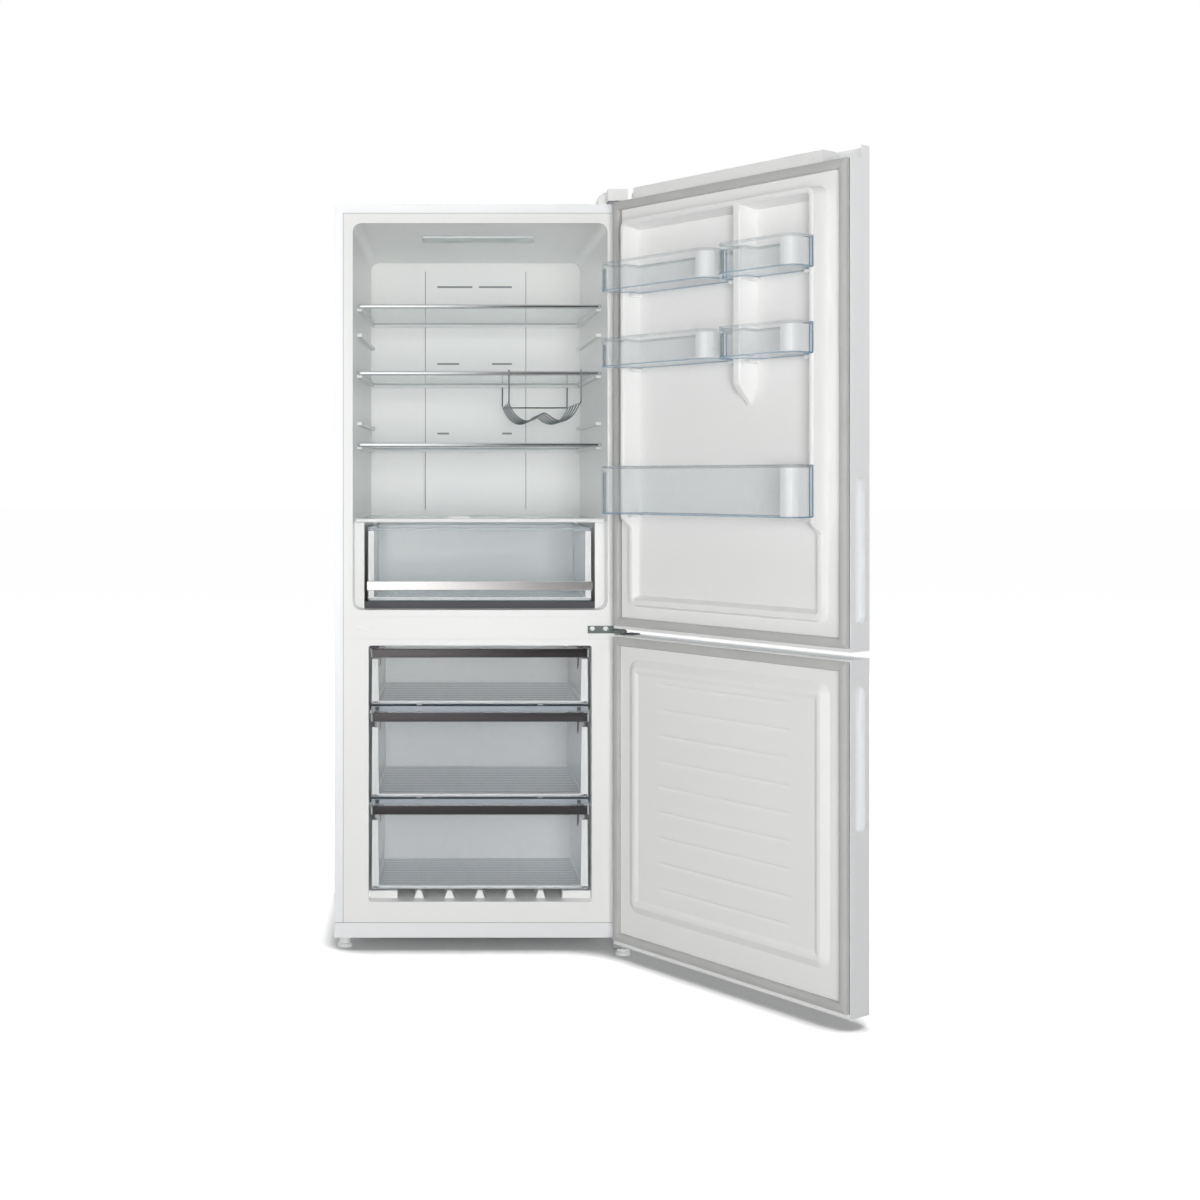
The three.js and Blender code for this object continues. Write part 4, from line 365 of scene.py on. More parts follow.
def tray(corners, radii, z0, z1, wall, floor, fillet, lip=0.0, steps=6, front=False):
    """An open tray: its outline is stacked from a rounded foot up the outside, over a rounded rim
    and down the inside to the floor. Steps at the foot are numbered 1, the floor 2 and the rim 3.
    With front, the upright faces along the first edge of the plan are numbered 4."""
    t = np.linspace(0, math.pi / 2, 5)
    rim = wall / 2
    inner = max(fillet - wall, 0.5)
    outside = [(fillet * (1 - math.sin(a)), z0 + fillet * (1 - math.cos(a))) for a in t]
    over = [
        (rim * (1 - math.cos(a)), z1 - rim * (1 - math.sin(a))) for a in np.linspace(0, math.pi, 7)
    ]
    if lip:
        over += [(wall + lip, z1 - 2 * rim), (wall + lip, z1 - 5), (wall, z1 - 6)]
    inside = [
        (wall + inner * (1 - math.cos(a)), z0 + floor + inner * (1 - math.sin(a))) for a in t
    ]
    stations = outside + over + inside
    loops = [level(rounded(corners, radii, inset, steps), z) for inset, z in stations]
    bands = np.zeros(len(stations) + 1, int)
    bands[: len(outside) - 1] = 1
    bands[len(outside) : len(outside) + len(over) - 1] = 3
    bands[-2:] = 2
    points, faces, marks = stacked(loops, bands=bands)
    if front:
        first_edge = marks[:-2].reshape(-1, len(loops[0]))[:, : 2 * steps - 1]
        first_edge[first_edge == 0] = 4
    return points, faces, marks


# ------------------------------------------------------------------ pieces
def swung(points):
    """Points of a shut door turned open about the hinge line."""
    cos, sin = math.cos(OPEN_ANGLE), math.sin(OPEN_ANGLE)
    a, b = (points[:, :2] - PIVOT[:2]).T
    return np.column_stack(
        [PIVOT[0] + a * cos - b * sin, PIVOT[1] + a * sin + b * cos, points[:, 2]]
    )


def add_piece(name, body, skin, finishes, stands_for=(), on_door=False, crease=35):
    """Puts a skin into a mesh in its place, with one finish for each of its material numbers; the
    last finish also takes the numbers past it."""
    points, faces, marks = skin
    if on_door:
        points = swung(points)
    mesh = bpy.data.meshes.new(name)
    mesh.from_pydata((points * MM + ORIGIN).tolist(), [], faces)
    mesh.polygons.foreach_set("material_index", np.minimum(marks, len(finishes) - 1))
    return settle(name, body, mesh, finishes, stands_for, crease)


def settle(name, body, mesh, finishes, stands_for, crease):
    """A mesh as a piece that rides on its body, shaded smooth but for edges sharper than crease."""
    mesh.validate()
    mesh.shade_smooth()
    mesh.set_sharp_from_angle(angle=math.radians(crease))
    for finish in finishes:
        mesh.materials.append(bpy.data.materials[finish])
    piece = bpy.data.objects.new(name, mesh)
    bpy.context.scene.collection.objects.link(piece)
    weighted = piece.modifiers.new("Even shading", "WEIGHTED_NORMAL")
    weighted.keep_sharp = True
    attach(piece, body)
    if stands_for:
        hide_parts(*stands_for)
    return piece


def smoothed(node, finish, crease=40):
    """A copy of a node with its flat faces joined and its round faces smooth, in place of the node."""
    source = NODES[node]
    work = bmesh.new()
    work.from_mesh(source.data)
    bmesh.ops.remove_doubles(work, verts=work.verts, dist=1e-5)
    bmesh.ops.dissolve_limit(work, angle_limit=math.radians(0.5), verts=work.verts, edges=work.edges)
    mesh = bpy.data.meshes.new(node + "_formed")
    work.to_mesh(mesh)
    work.free()
    for old in {"custom_normal", "sharp_edge", "sharp_face"} & set(mesh.attributes.keys()):
        mesh.attributes.remove(mesh.attributes[old])
    return settle(node + "_formed", source["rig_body"], mesh, [finish], (node,), crease)


DRESSED = {  # finishes of the nodes that keep their shape
    "paint": ("base_frame",),
    "liner": ("mullion_cover", "air_duct_cover", "evaporator_cover"),
    "white_plastic": ("humidity_slider", "top_hinge_cover", "fridge_door_cap"),
    "foam": ("cabinet_foam", "fridge_door_foam", "freezer_door_foam"),
    "zinc": ("back_panel", "rear_cover", "top_hinge"),
    "glass": ("shelf_glass_1", "shelf_glass_2", "shelf_glass_3", "crisper_cover_glass"),
    "slab": ("freezer_shelf_1", "freezer_shelf_2"),
    "diffuser": ("ceiling_light",),
    "dark": ("crisper_runner", "mains_inlet"),
    "grey": ("drain_pan",),
    "aluminium": ("evaporator",),
}
SMOOTHED = {  # finishes of the cabinet's nodes that are smoothed
    "paint": ("cabinet_shell",),
    "liner": ("fridge_liner", "freezer_liner"),
    "black_steel": ("compressor", "fan_motor"),
    "grey": ("fan_blade",),
    "dark": ("roller_left", "roller_right"),
    "frosted": ("foot_left", "foot_right"),
    "hinge_steel": ("middle_hinge",),
    "zinc": ("bottom_hinge",),
}


# ------------------------------------------------------------------ finishes
def new_material(name):
    """The empty node tree of a new material."""
    made = bpy.data.materials.new(name)
    made.use_nodes = True
    made.node_tree.nodes.clear()
    return made.node_tree


def add_node(tree, kind, inputs=(), **settings):
    """A shader node with its settings. Each input gets a value, or a link from an output."""
    made = tree.nodes.new("ShaderNode" + kind)
    for name, value in settings.items():
        setattr(made, name, value)
    for name, value in dict(inputs).items():
        if isinstance(value, bpy.types.NodeSocket):
            tree.links.new(value, made.inputs[name])
        else:
            made.inputs[name].default_value = value
    return made


def opaque(name, colour, roughness, metallic=0.0, tone=0.03, patch=5.0, grain=900.0, bump=0.05,
           stretch=(1, 1, 1), edge=0.0, coat=0.0):
    """A solid finish: two close tones in large soft patches, a grain that moves roughness and
    height, and edges that look rounded over the width edge."""
    tree = new_material(name)
    place = add_node(tree, "TexCoord").outputs["Object"]
    place = add_node(tree, "Mapping", {"Vector": place, "Scale": stretch}).outputs["Vector"]
    patches = add_node(tree, "TexNoise", {"Vector": place, "Scale": patch, "Detail": 2})
    ramp = add_node(tree, "ValToRGB", {"Fac": patches.outputs["Fac"]})
    for stop, position, share in zip(ramp.color_ramp.elements, (0.3, 0.7), (1 - tone, 1 + tone)):
        stop.position = position
        stop.color = (*[min(c * share, 1) for c in colour], 1)
    fine = add_node(tree, "TexNoise", {"Vector": place, "Scale": grain, "Detail": 3}).outputs["Fac"]
    rough = add_node(tree, "MapRange", {
        "Value": fine, "To Min": max(roughness - 0.06, 0.02), "To Max": roughness + 0.06})
    raised = add_node(tree, "Bump", {"Height": fine, "Strength": bump, "Distance": 0.0004})
    if edge:
        soft = add_node(tree, "Bevel", {"Radius": edge * MM}, samples=6)
        tree.links.new(soft.outputs["Normal"], raised.inputs["Normal"])
    shader = add_node(tree, "BsdfPrincipled", {
        "Base Color": ramp.outputs["Color"], "Roughness": rough.outputs["Result"],
        "Normal": raised.outputs["Normal"], "Metallic": metallic, "Coat Weight": coat})
    add_node(tree, "OutputMaterial", {"Surface": shader.outputs["BSDF"]})


def clear(name, colour, edge_colour, least, most, roughness=0.06, power=2.0, haze=0.03):
    """A clear finish: faint and pale seen straight on, and stronger and in its edge colour where
    the surface turns away, with a haze of fine scuffs."""
    tree = new_material(name)
    place = add_node(tree, "TexCoord").outputs["Object"]
    fine = add_node(tree, "TexNoise", {"Vector": place, "Scale": 60, "Detail": 4}).outputs["Fac"]
    facing = add_node(tree, "LayerWeight", {"Blend": 0.5}).outputs["Facing"]
    bent = add_node(tree, "Math", {0: facing, 1: power}, operation="POWER").outputs["Value"]
    tint = add_node(
        tree, "Mix", {"Factor": bent, "A": (*colour, 1), "B": (*edge_colour, 1)}, data_type="RGBA")
    cover = add_node(tree, "MapRange", {"Value": bent, "To Min": least, "To Max": most})
    scuffs = add_node(
        tree, "Math", {0: fine, 1: haze, 2: cover.outputs["Result"]}, operation="MULTIPLY_ADD")
    rough = add_node(tree, "MapRange", {
        "Value": fine, "To Min": roughness * 0.6, "To Max": roughness * 1.5})
    shader = add_node(tree, "BsdfPrincipled", {
        "Base Color": tint.outputs["Result"], "Alpha": scuffs.outputs["Value"],
        "Roughness": rough.outputs["Result"]})
    add_node(tree, "OutputMaterial", {"Surface": shader.outputs["BSDF"]})


COLOUR = {"subtype": "COLOR", "size": 3, "min": 0, "max": 1}
POWER = {"subtype": "POWER", "min": 0, "max": 500}


class FridgeColours(bpy.types.PropertyGroup):
    """Colours that a user would change."""

    paint: bpy.props.FloatVectorProperty(
        name="Paint", description="Cabinet and door paint", default=srgb(224, 231, 240), **COLOUR)
    liner: bpy.props.FloatVectorProperty(
        name="Liner", description="Moulded insides", default=srgb(243, 243, 242), **COLOUR)
    gasket: bpy.props.FloatVectorProperty(
        name="Seals", description="Magnetic door seals", default=srgb(194, 194, 192), **COLOUR)
    chrome: bpy.props.FloatVectorProperty(
        name="Bright trim", description="Trims of the shelves", default=srgb(205, 205, 206), **COLOUR)
    dark_chrome: bpy.props.FloatVectorProperty(
        name="Dark trim", description="Bands on the freezer drawers", default=srgb(90, 87, 88), **COLOUR)
    plastic: bpy.props.FloatVectorProperty(
        name="Clear plastic", description="Walls of the door bins", default=srgb(226, 233, 237), **COLOUR)
    plastic_edge: bpy.props.FloatVectorProperty(
        name="Clear plastic edge", description="Edges of the door bins", default=srgb(132, 170, 196),
        **COLOUR)
    glass_edge: bpy.props.FloatVectorProperty(
        name="Glass edge", description="Cut edges of the shelves", default=srgb(150, 182, 178), **COLOUR)
    zinc: bpy.props.FloatVectorProperty(
        name="Plated steel", description="Hinges and back panels", default=srgb(170, 173, 176), **COLOUR)


class FridgeSizes(bpy.types.PropertyGroup):
    """Sizes and lights that a user would change."""

    wire: bpy.props.FloatProperty(
        name="Rack wire", description="Diameter of the bottle rack's wire", subtype="DISTANCE",
        unit="LENGTH", min=0.002, max=0.005, default=0.004)
    drawer_ribs: bpy.props.IntProperty(
        name="Drawer ribs", description="Ribs on each freezer drawer's floor", min=0, max=30, default=11)
    flutes: bpy.props.IntProperty(
        name="Flutes", description="Flutes in the corner of a door bin", min=2, max=12, default=6)
    key_light: bpy.props.FloatProperty(
        name="Key light", description="Power of the large front lamp", default=139, **POWER)
    left_light: bpy.props.FloatProperty(
        name="Left light", description="Power of the lamp at the left", default=38, **POWER)
    right_light: bpy.props.FloatProperty(
        name="Right light", description="Power of the lamp at the right", default=9, **POWER)
    back_light: bpy.props.FloatProperty(
        name="Back lights", description="Power of each lamp behind", default=110, **POWER)
    top_light: bpy.props.FloatProperty(
        name="Top light", description="Power of the lamp overhead", default=30, **POWER)
    room_light: bpy.props.FloatProperty(
        name="Room light", description="Strength of the light from all round", min=0, max=2, default=0.2)


def sizes():
    """The panel's sizes."""
    return bpy.context.scene.fridge_sizes


class FRIDGE_OT_finishes(bpy.types.Operator):
    """Make the finishes, and give them to the nodes that keep their shape"""

    bl_idname = "fridge.finishes"
    bl_label = "Finishes"

    def execute(self, context):
        c = context.scene.fridge_colours
        opaque("paint", c.paint, 0.42, tone=0.012, patch=3, grain=1400, bump=0.12, edge=2.0, coat=0.05)
        opaque("liner", c.liner, 0.42, tone=0.012, patch=4, grain=2200, bump=0.1, edge=2.5)
        opaque("white_plastic", c.liner, 0.38, tone=0.02, patch=14, grain=1800, bump=0.08, edge=1.0)
        opaque("seal", c.gasket, 0.62, tone=0.04, patch=10, grain=1200, bump=0.2, edge=1.0)
        opaque("foam", srgb(233, 222, 190), 0.9, tone=0.06, patch=30, grain=260, bump=0.6)
        opaque("zinc", c.zinc, 0.38, metallic=1, tone=0.1, patch=26, grain=500, bump=0.15, edge=0.8)
        opaque("chrome", c.chrome, 0.16, metallic=1, tone=0.03, patch=8, grain=1600, bump=0.03,
               stretch=(0.05, 1, 1), edge=0.5)
        opaque("dark_chrome", c.dark_chrome, 0.2, metallic=1, tone=0.06, patch=8, grain=1600,
               bump=0.03, stretch=(0.05, 1, 1), edge=0.5)
        opaque("band", srgb(236, 234, 232), 0.24, metallic=1, tone=0.04, patch=8, grain=1600,
               bump=0.04, stretch=(0.05, 1, 1), edge=0.5)
        opaque("wire", srgb(150, 152, 156), 0.14, metallic=1, tone=0.08, patch=40, grain=900, bump=0.03)
        opaque("dark", srgb(34, 36, 41), 0.5, tone=0.12, patch=12, grain=1500, bump=0.2, edge=1.0)
        opaque("grey", srgb(150, 154, 158), 0.5, tone=0.05, patch=12, grain=1200, bump=0.15, edge=1.0)
        opaque("aluminium", srgb(200, 203, 206), 0.35, metallic=1, tone=0.06, patch=20, grain=700,
               bump=0.1, edge=0.5)
        opaque("black_steel", srgb(28, 29, 31), 0.36, metallic=0.3, tone=0.15, patch=9, grain=900,
               bump=0.12, edge=2.0)
        opaque("hinge_steel", srgb(118, 124, 122), 0.42, metallic=0.5, tone=0.08, patch=30, grain=600,
               bump=0.1, edge=0.6)
        opaque("rib_blue", srgb(120, 148, 170), 0.3, tone=0.04, patch=20, grain=1200, bump=0.05)
        # outlet: a grey that paints the shade in the duct's outlets, in the joins of the duct cover and
        # where the liners meet the shell
        opaque("outlet", srgb(146, 148, 149), 0.6, tone=0.05, patch=20, grain=900, bump=0.1)
        opaque("diffuser", srgb(240, 243, 243), 0.5, tone=0.02, patch=20, grain=1500, bump=0.1, edge=1.5)
        clear("glass", srgb(236, 242, 242), c.glass_edge, 0.02, 0.55, roughness=0.03, power=4, haze=0.02)
        clear("clear_plastic", c.plastic, c.plastic_edge, 0.04, 0.45, power=3, haze=0.03)
        clear("clear_edge", c.plastic_edge, c.plastic_edge, 0.45, 0.85)
        clear("clear_rim", srgb(184, 192, 197), srgb(146, 156, 163), 0.28, 0.75)
        clear("clear_floor", srgb(244, 248, 251), srgb(226, 236, 244), 0.08, 0.26)
        clear("fluted", srgb(176, 186, 193), srgb(60, 68, 76), 0.12, 0.95, power=1.2)
        clear("drawer_front", srgb(232, 236, 239), srgb(176, 190, 198), 0.03, 0.5, power=3, haze=0.02)
        clear("drawer_edge", srgb(206, 216, 222), srgb(120, 138, 150), 0.3, 0.85)
        clear("drawer_wall", srgb(250, 251, 251), srgb(244, 246, 246), 0.9, 0.95, roughness=0.12)
        clear("drawer_floor", srgb(238, 241, 243), srgb(230, 234, 237), 0.9, 0.95, roughness=0.12)
        clear("crisper_wall", srgb(250, 252, 252), srgb(241, 245, 246), 0.9, 0.95, haze=0.02)
        clear("crisper_floor", srgb(232, 239, 243), srgb(214, 224, 230), 0.88, 0.95)
        clear("frosted", srgb(245, 246, 246), srgb(240, 242, 243), 0.85, 0.95, roughness=0.3)
        clear("slab", srgb(186, 196, 205), srgb(130, 143, 155), 0.7, 0.95, roughness=0.2)
        for finish, nodes in DRESSED.items():
            for node in nodes:
                NODES[node].data.materials.clear()
                NODES[node].data.materials.append(bpy.data.materials[finish])
        return {"FINISHED"}


class FRIDGE_OT_cabinet(bpy.types.Operator):
    """Smooth the shell, the liners and the round parts, and add the plug, screws, painted shade in the
    outlets and painted shade lines in the joins
    """

    bl_idname = "fridge.cabinet"
    bl_label = "Cabinet"

    def execute(self, context):
        for finish, nodes in SMOOTHED.items():
            for node in nodes:
                smoothed(node, finish)
        self.mullion_plug()
        self.hinge_screws()
        self.duct_shades()
        self.seam_shades()
        return {"FINISHED"}

    def mullion_plug(self):
        """A low dome of stadium plan that closes a screw hole in the mullion."""
        radius = (PLUG_HIGH[1] - PLUG_LOW[1]) / 2 - 0.05
        plan = corners_of(PLUG_LOW, PLUG_HIGH)
        loops = [
            upright(rounded(plan, radius, inset, 8), y)
            for inset, y in ((0, 0.1), (0, -0.5), (0.5, -0.9), (1.6, -1.1))
        ]
        add_piece("mullion_plug", "cabinet", stacked(loops), ["white_plastic"])

    def hinge_screws(self):
        """Two pan heads on the middle hinge's flange: a domed profile turned about Y."""
        t = np.linspace(0, math.pi / 2, 6)[:-1]
        radii = SCREW_RADIUS * np.append(1, np.cos(t))
        depths = np.append(-2.5, -3.2 - 1.8 * np.sin(t))
        angle = np.linspace(0, 2 * math.pi, 24, endpoint=False)
        heads = [
            stacked([upright(around((x, SCREW_Z), r, angle), y) for r, y in zip(radii, depths)])
            for x in SCREW_X
        ]
        add_piece("middle_hinge_screws", "cabinet", merged(*heads), ["white_plastic"])

    def duct_shades(self):
        """Dark strips of painted shade in the duct cover's outlets, and thin lines of painted shade in the
        joins along its upright edges.
        """
        low, high = span("air_duct_cover")
        parts = []
        for drop, inner in zip(OUTLET_DROPS, OUTLET_MIDDLES):
            for x0, x1 in ((-OUTLET_LEFT, -inner), (inner, OUTLET_RIGHT)):
                z = high[2] - drop
                parts.append(block((x0, low[1] + 1.2, z - 2.6), (x1, high[1] - 0.2, z + 2.6), 0.4))
        add_piece("air_duct_shades", "cabinet", merged(*parts), ["outlet"])
        seam_shades = [
            block((x - 0.8, high[1] - 3, low[2] + 4), (x + 0.8, high[1] - 0.1, high[2] - 4), 0.3)
            for x in (low[0] - 1, high[0] + 1)
        ]
        add_piece("air_duct_seams", "cabinet", merged(*seam_shades), ["outlet"])

    def seam_shades(self):
        """Thin grey lines of painted shade where the liners meet the folded shell, and over the plinth."""
        low, high = span("fridge_liner")
        plinth = span("base_frame")[1][2]
        left, right, top = low[0], high[0], high[2]
        lines = [
            block((x0, SEAM_SHADE_FRONT, z0), (x1, SEAM_SHADE_BACK, z1), 0.1) for x0, x1, z0, z1 in (
                (-SEAM_SHADE_HALF, SEAM_SHADE_HALF, plinth - 0.7, plinth + 0.5),
                (left - 0.5, left + 0.5, plinth + 1, top + 0.5),
                (right - 0.5, right + 0.5, plinth + 1, top + 0.5),
                (left + 0.6, right - 0.6, top - 0.5, top + 0.5))
        ]
        add_piece("shell_seams", "cabinet", merged(*lines), ["outlet"])


class FRIDGE_OT_shelves(bpy.types.Operator):
    """Build the shelf trims with their plastic ends, and the strips under the glass"""

    bl_idname = "fridge.shelves"
    bl_label = "Shelves"

    def execute(self, context):
        for number, height in enumerate(SHELVES, 1):
            self.trim(number, f"shelf_{number}", height)
            self.rear_strip(f"shelf_{number}", height)
        low, high = span("crisper_cover_trim")
        add_piece("crisper_cover_trim_round", "crisper_cover", rod(low, high, 3.2, 1.5),
                  ["white_plastic"], ("crisper_cover_trim",))
        return {"FINISHED"}

    def trim(self, number, body, height):
        """A bar with a rounded front carried along X, with a plastic cap at each end."""
        half = span(f"shelf_trim_{number}")[1][0]
        low = (TRIM_FRONT, height - TRIM_HEIGHT / 2)
        high = (TRIM_FRONT + TRIM_DEPTH, height + TRIM_HEIGHT / 2)
        metal = bar(box_profile(low, high, 3.6, 6), TRIM_CAP - half, half - TRIM_CAP)
        add_piece(f"shelf_trim_{number}_round", body, metal, ["chrome"], (f"shelf_trim_{number}",))
        cap = box_profile(low, (high[0] + 3, high[1]), 3)
        ends = merged(bar(cap, -half, TRIM_CAP - half, 1.2), bar(cap, half - TRIM_CAP, half, 1.2))
        add_piece(f"shelf_trim_{number}_ends", body, ends, ["grey"])

    def rear_strip(self, body, height):
        """A white strip with a rounded section under the back edge of the glass, with a grey seam
        along its top."""
        top = height - GLASS / 2 - GAP
        strip = rod((-STRIP_HALF, SHELF_BACK - 14, top - 8), (STRIP_HALF, SHELF_BACK - 2, top - 1.6), 1.5, 1)
        add_piece(f"{body}_rear_strip", body, strip, ["white_plastic"])
        seam = rod((-STRIP_HALF, SHELF_BACK - 13, top - 1.9), (STRIP_HALF, SHELF_BACK - 3, top), 0.6)
        add_piece(f"{body}_rear_seam", body, seam, ["grey"])


class FRIDGE_OT_rack(bpy.types.Operator):
    """Build the wire bottle rack: two bent sides, a bar behind, and wires with two lobes"""

    bl_idname = "fridge.rack"
    bl_label = "Bottle rack"

    def execute(self, context):
        low, high = span("bottle_rack")
        wire = sizes().wire / MM / 2
        left, right = low[0] + wire, high[0] - wire
        front, back = low[1] + wire, high[1] - wire
        middle, half = (left + right) / 2, (right - left) / 2
        over_trim = high[2] - wire
        over_glass = SHELVES[1] + GLASS / 2 + wire + GAP

        def frame_height(y):
            return SHELVES[1] - RACK_DROP + RACK_SLOPE * (y - front)

        at_front, at_back = frame_height(front), frame_height(back)
        side = [
            (TRIM_FRONT + TRIM_DEPTH, over_trim), (front + RACK_BEND / 2, over_trim),
            (front, over_trim - RACK_BEND / 2), (front, at_front + RACK_BEND),
            (front + RACK_BEND, at_front), (back - RACK_BEND, at_back), (back, at_back + RACK_BEND),
            (back, over_glass - RACK_BEND / 2), (back - RACK_BEND / 2, over_glass),
            (SHELF_BACK - 10, over_glass),
        ]
        parts = [tube([(x, *place) for place in side], wire, (1, 0, 0)) for x in (left, right)]
        cross = [(x, back, at_back) for x in (left, middle, right)]
        parts.append(tube(cross, wire, (0, 0, 1)))
        lobe = np.array([(-1, 0), (-0.93, -0.3), (-0.8, -0.68), (-0.62, -0.94), (-0.45, -1),
                         (-0.26, -0.88), (-0.1, -0.66), (0, -0.57)])
        path = curved(np.concatenate([lobe, lobe[-2::-1] * [-1, 1]]), 5) * [half, LOBE_DEPTH]
        for y in np.linspace(front + LOBE_MARGIN, back - LOBE_MARGIN, LOBE_WIRES):
            lobes = upright(path + [middle, frame_height(y)], y)
            parts.append(tube(lobes, wire / 1.1, (0, 1, 0)))
        add_piece("bottle_rack_wires", "bottle_rack", merged(*parts), ["wire"], ("bottle_rack",),
                  crease=60)
        return {"FINISHED"}


class FRIDGE_OT_crisper(bpy.types.Operator):
    """Build the crisper drawer, the white frame behind its front and its metal band"""

    bl_idname = "fridge.crisper"
    bl_label = "Crisper"

    def execute(self, context):
        low, high = span("crisper_drawer")
        back = high[0] - 5
        corners = [(low[0], low[1]), (high[0], low[1]), (back, high[1]), (-back, high[1])]
        skin = tray(corners, 9, low[2], high[2], 3, 3, 9, lip=1.5, front=True)
        add_piece("crisper_drawer_moulding", "crisper", skin,
                  ["crisper_wall", "drawer_edge", "crisper_floor", "drawer_edge", "drawer_front"],
                  ("crisper_drawer",))
        front = low[1] + 3.6
        posts = [
            block((x - 7, front, low[2] + 6), (x + 7, front + 3, high[2] - 8), 1.3)
            for x in (-CRISPER_POST, CRISPER_POST)
        ]
        foot = low[2]
        sill = rod((-CRISPER_SILL, front, foot + 3.2), (CRISPER_SILL, front + 5, foot + 11), 2, 1)
        add_piece("crisper_front_frame", "crisper", merged(sill, *posts), ["white_plastic"])
        low, high = span("crisper_handle")
        add_piece("crisper_band", "crisper", rod(low, high, 1.6, 1), ["band"], ("crisper_handle",))
        return {"FINISHED"}


class FRIDGE_OT_freezer(bpy.types.Operator):
    """Build the freezer drawers, their bands, ribs, posts and latches, and the clips and stops"""

    bl_idname = "fridge.freezer"
    bl_label = "Freezer drawers"

    def execute(self, context):
        for number in (1, 2, 3):
            self.drawer(number)
        for number in (1, 2):
            low, high = span(f"freezer_shelf_{number}")
            clips = [
                block((x - 4.5, low[1] - 3, low[2] + 2), (x + 4.5, low[1] - 0.2, high[2] - 1.5), 1)
                for x in CLIP_X
            ]
            add_piece(f"freezer_shelf_{number}_clips", "cabinet", merged(*clips), ["dark"])
        left = block((-STOP_HIGH[0], *STOP_LOW[1:]), (-STOP_LOW[0], *STOP_HIGH[1:]), 1)
        stops = merged(left, block(STOP_LOW, STOP_HIGH, 1))
        add_piece("freezer_top_stops", "cabinet", stops, ["dark"])
        return {"FINISHED"}

    def drawer(self, number):
        """A tray behind a flat front, with skids under it, and all that is fixed to it."""
        body = f"freezer_drawer_{number}"
        low, high = span(body)
        front, back, top = low[1], high[1], high[2]
        bottom = low[2] + DRAWER_LIFT
        corners = [(-DRAWER_WALL, front + 1), (DRAWER_WALL, front + 1),
                   (DRAWER_TAIL, back), (-DRAWER_TAIL, back)]
        walls = tray(corners, 6, bottom, top - 12, 3, 3, 6, front=True)
        plan = corners_of((-DRAWER_FRONT, bottom), (DRAWER_FRONT, top))
        loops = [
            upright(rounded(plan, 6, inset, 5), front + y)
            for inset, y in ((0.8, 0), (0, 0.8), (0, 3.2), (0.8, 4))
        ]
        panel = stacked(loops, bands=[1, 1, 1, 4, 4])
        skids = [
            block((x - 6, front + 20, low[2]), (x + 6, back - 10, bottom + 1), 0.8)
            for x in (-SKID_X, SKID_X)
        ]
        add_piece(f"{body}_moulding", body, merged(walls, panel, *skids),
                  ["drawer_wall", "drawer_edge", "drawer_floor", "drawer_edge", "drawer_front"],
                  (body,))
        self.ribs(body, front, back, bottom)
        self.front_frame(number, body, front, bottom, top)
        self.latches(body, front, top)
        self.band(number, body)

    def ribs(self, body, front, back, bottom):
        """Low ribs along X on the floor, whose section is the crest of a cosine along Y."""
        count = sizes().drawer_ribs
        if count:
            y = np.linspace(front + 8, back - 8, count * 10 + 1)
            wave = np.cos((y - y[0]) / (y[-1] - y[0]) * 2 * math.pi * count)
            top = bottom + 3.2 + 1.4 * smooth((wave - 0.2) / 0.8)
            foot = [(y[-1], bottom + 2.9), (y[0], bottom + 2.9)]
            profile = np.concatenate([np.column_stack([y, top]), foot])
            add_piece(f"{body}_floor_ribs", body, bar(profile, -DRAWER_RIB, DRAWER_RIB),
                      ["drawer_floor"])

    def band(self, number, body):
        """The metal band along the top of the front, with a plastic cap at each end."""
        low, high = span(f"freezer_trim_{number}")
        left, right = low[0], high[0]
        profile = box_profile(low[1:], high[1:], 1.4)
        metal = bar(profile, left + BAND_CAP, right - BAND_CAP)
        add_piece(f"freezer_trim_{number}_band", body, metal, ["dark_chrome"],
                  (f"freezer_trim_{number}",))
        caps = merged(
            bar(profile, left, left + BAND_CAP, 1.2), bar(profile, right - BAND_CAP, right, 1.2))
        add_piece(f"freezer_trim_{number}_ends", body, caps, ["grey"])

    def front_frame(self, number, body, front, bottom, top):
        """White posts behind the front's ends, a little wider at the foot, and a sill along it."""
        rise = top - 25 - (0 if number == 1 else POST_DROP)
        foot, head = box_profile(*POST_FOOT, 1.5), box_profile(*POST_HEAD, 1.5)
        posts = [
            stacked([
                level(plan * [side, 1] + [0, front], z)
                for plan, z in ((foot, bottom + 2), (head, rise - 1), (head + [0, 0.4], rise))
            ])
            for side in (-1, 1)
        ]
        sill = rod((-DRAWER_SILL, front + 3.7, bottom + 0.2), (DRAWER_SILL, front + 8.6, bottom + 8), 1.6, 1)
        add_piece(f"{body}_front_frame", body, merged(sill, *posts), ["white_plastic"])

    def latches(self, body, front, top):
        """A dark catch inside each side of the front: a narrow tongue, bevelled at its foot."""
        parts = []
        for x0, x1, length in CATCHES:
            whole = rounded(corners_of((x0, front + 4), (x1, front + 8)), 0.6, steps=3)
            tip = whole * [0.3, 1] + [0.7 * x0, 0]
            heights = top - 22 - length * np.array([1, 0.6, 0])
            parts.append(stacked([level(p, z) for p, z in zip((tip, whole, whole), heights)]))
        add_piece(f"{body}_latches", body, merged(*parts), ["dark"])


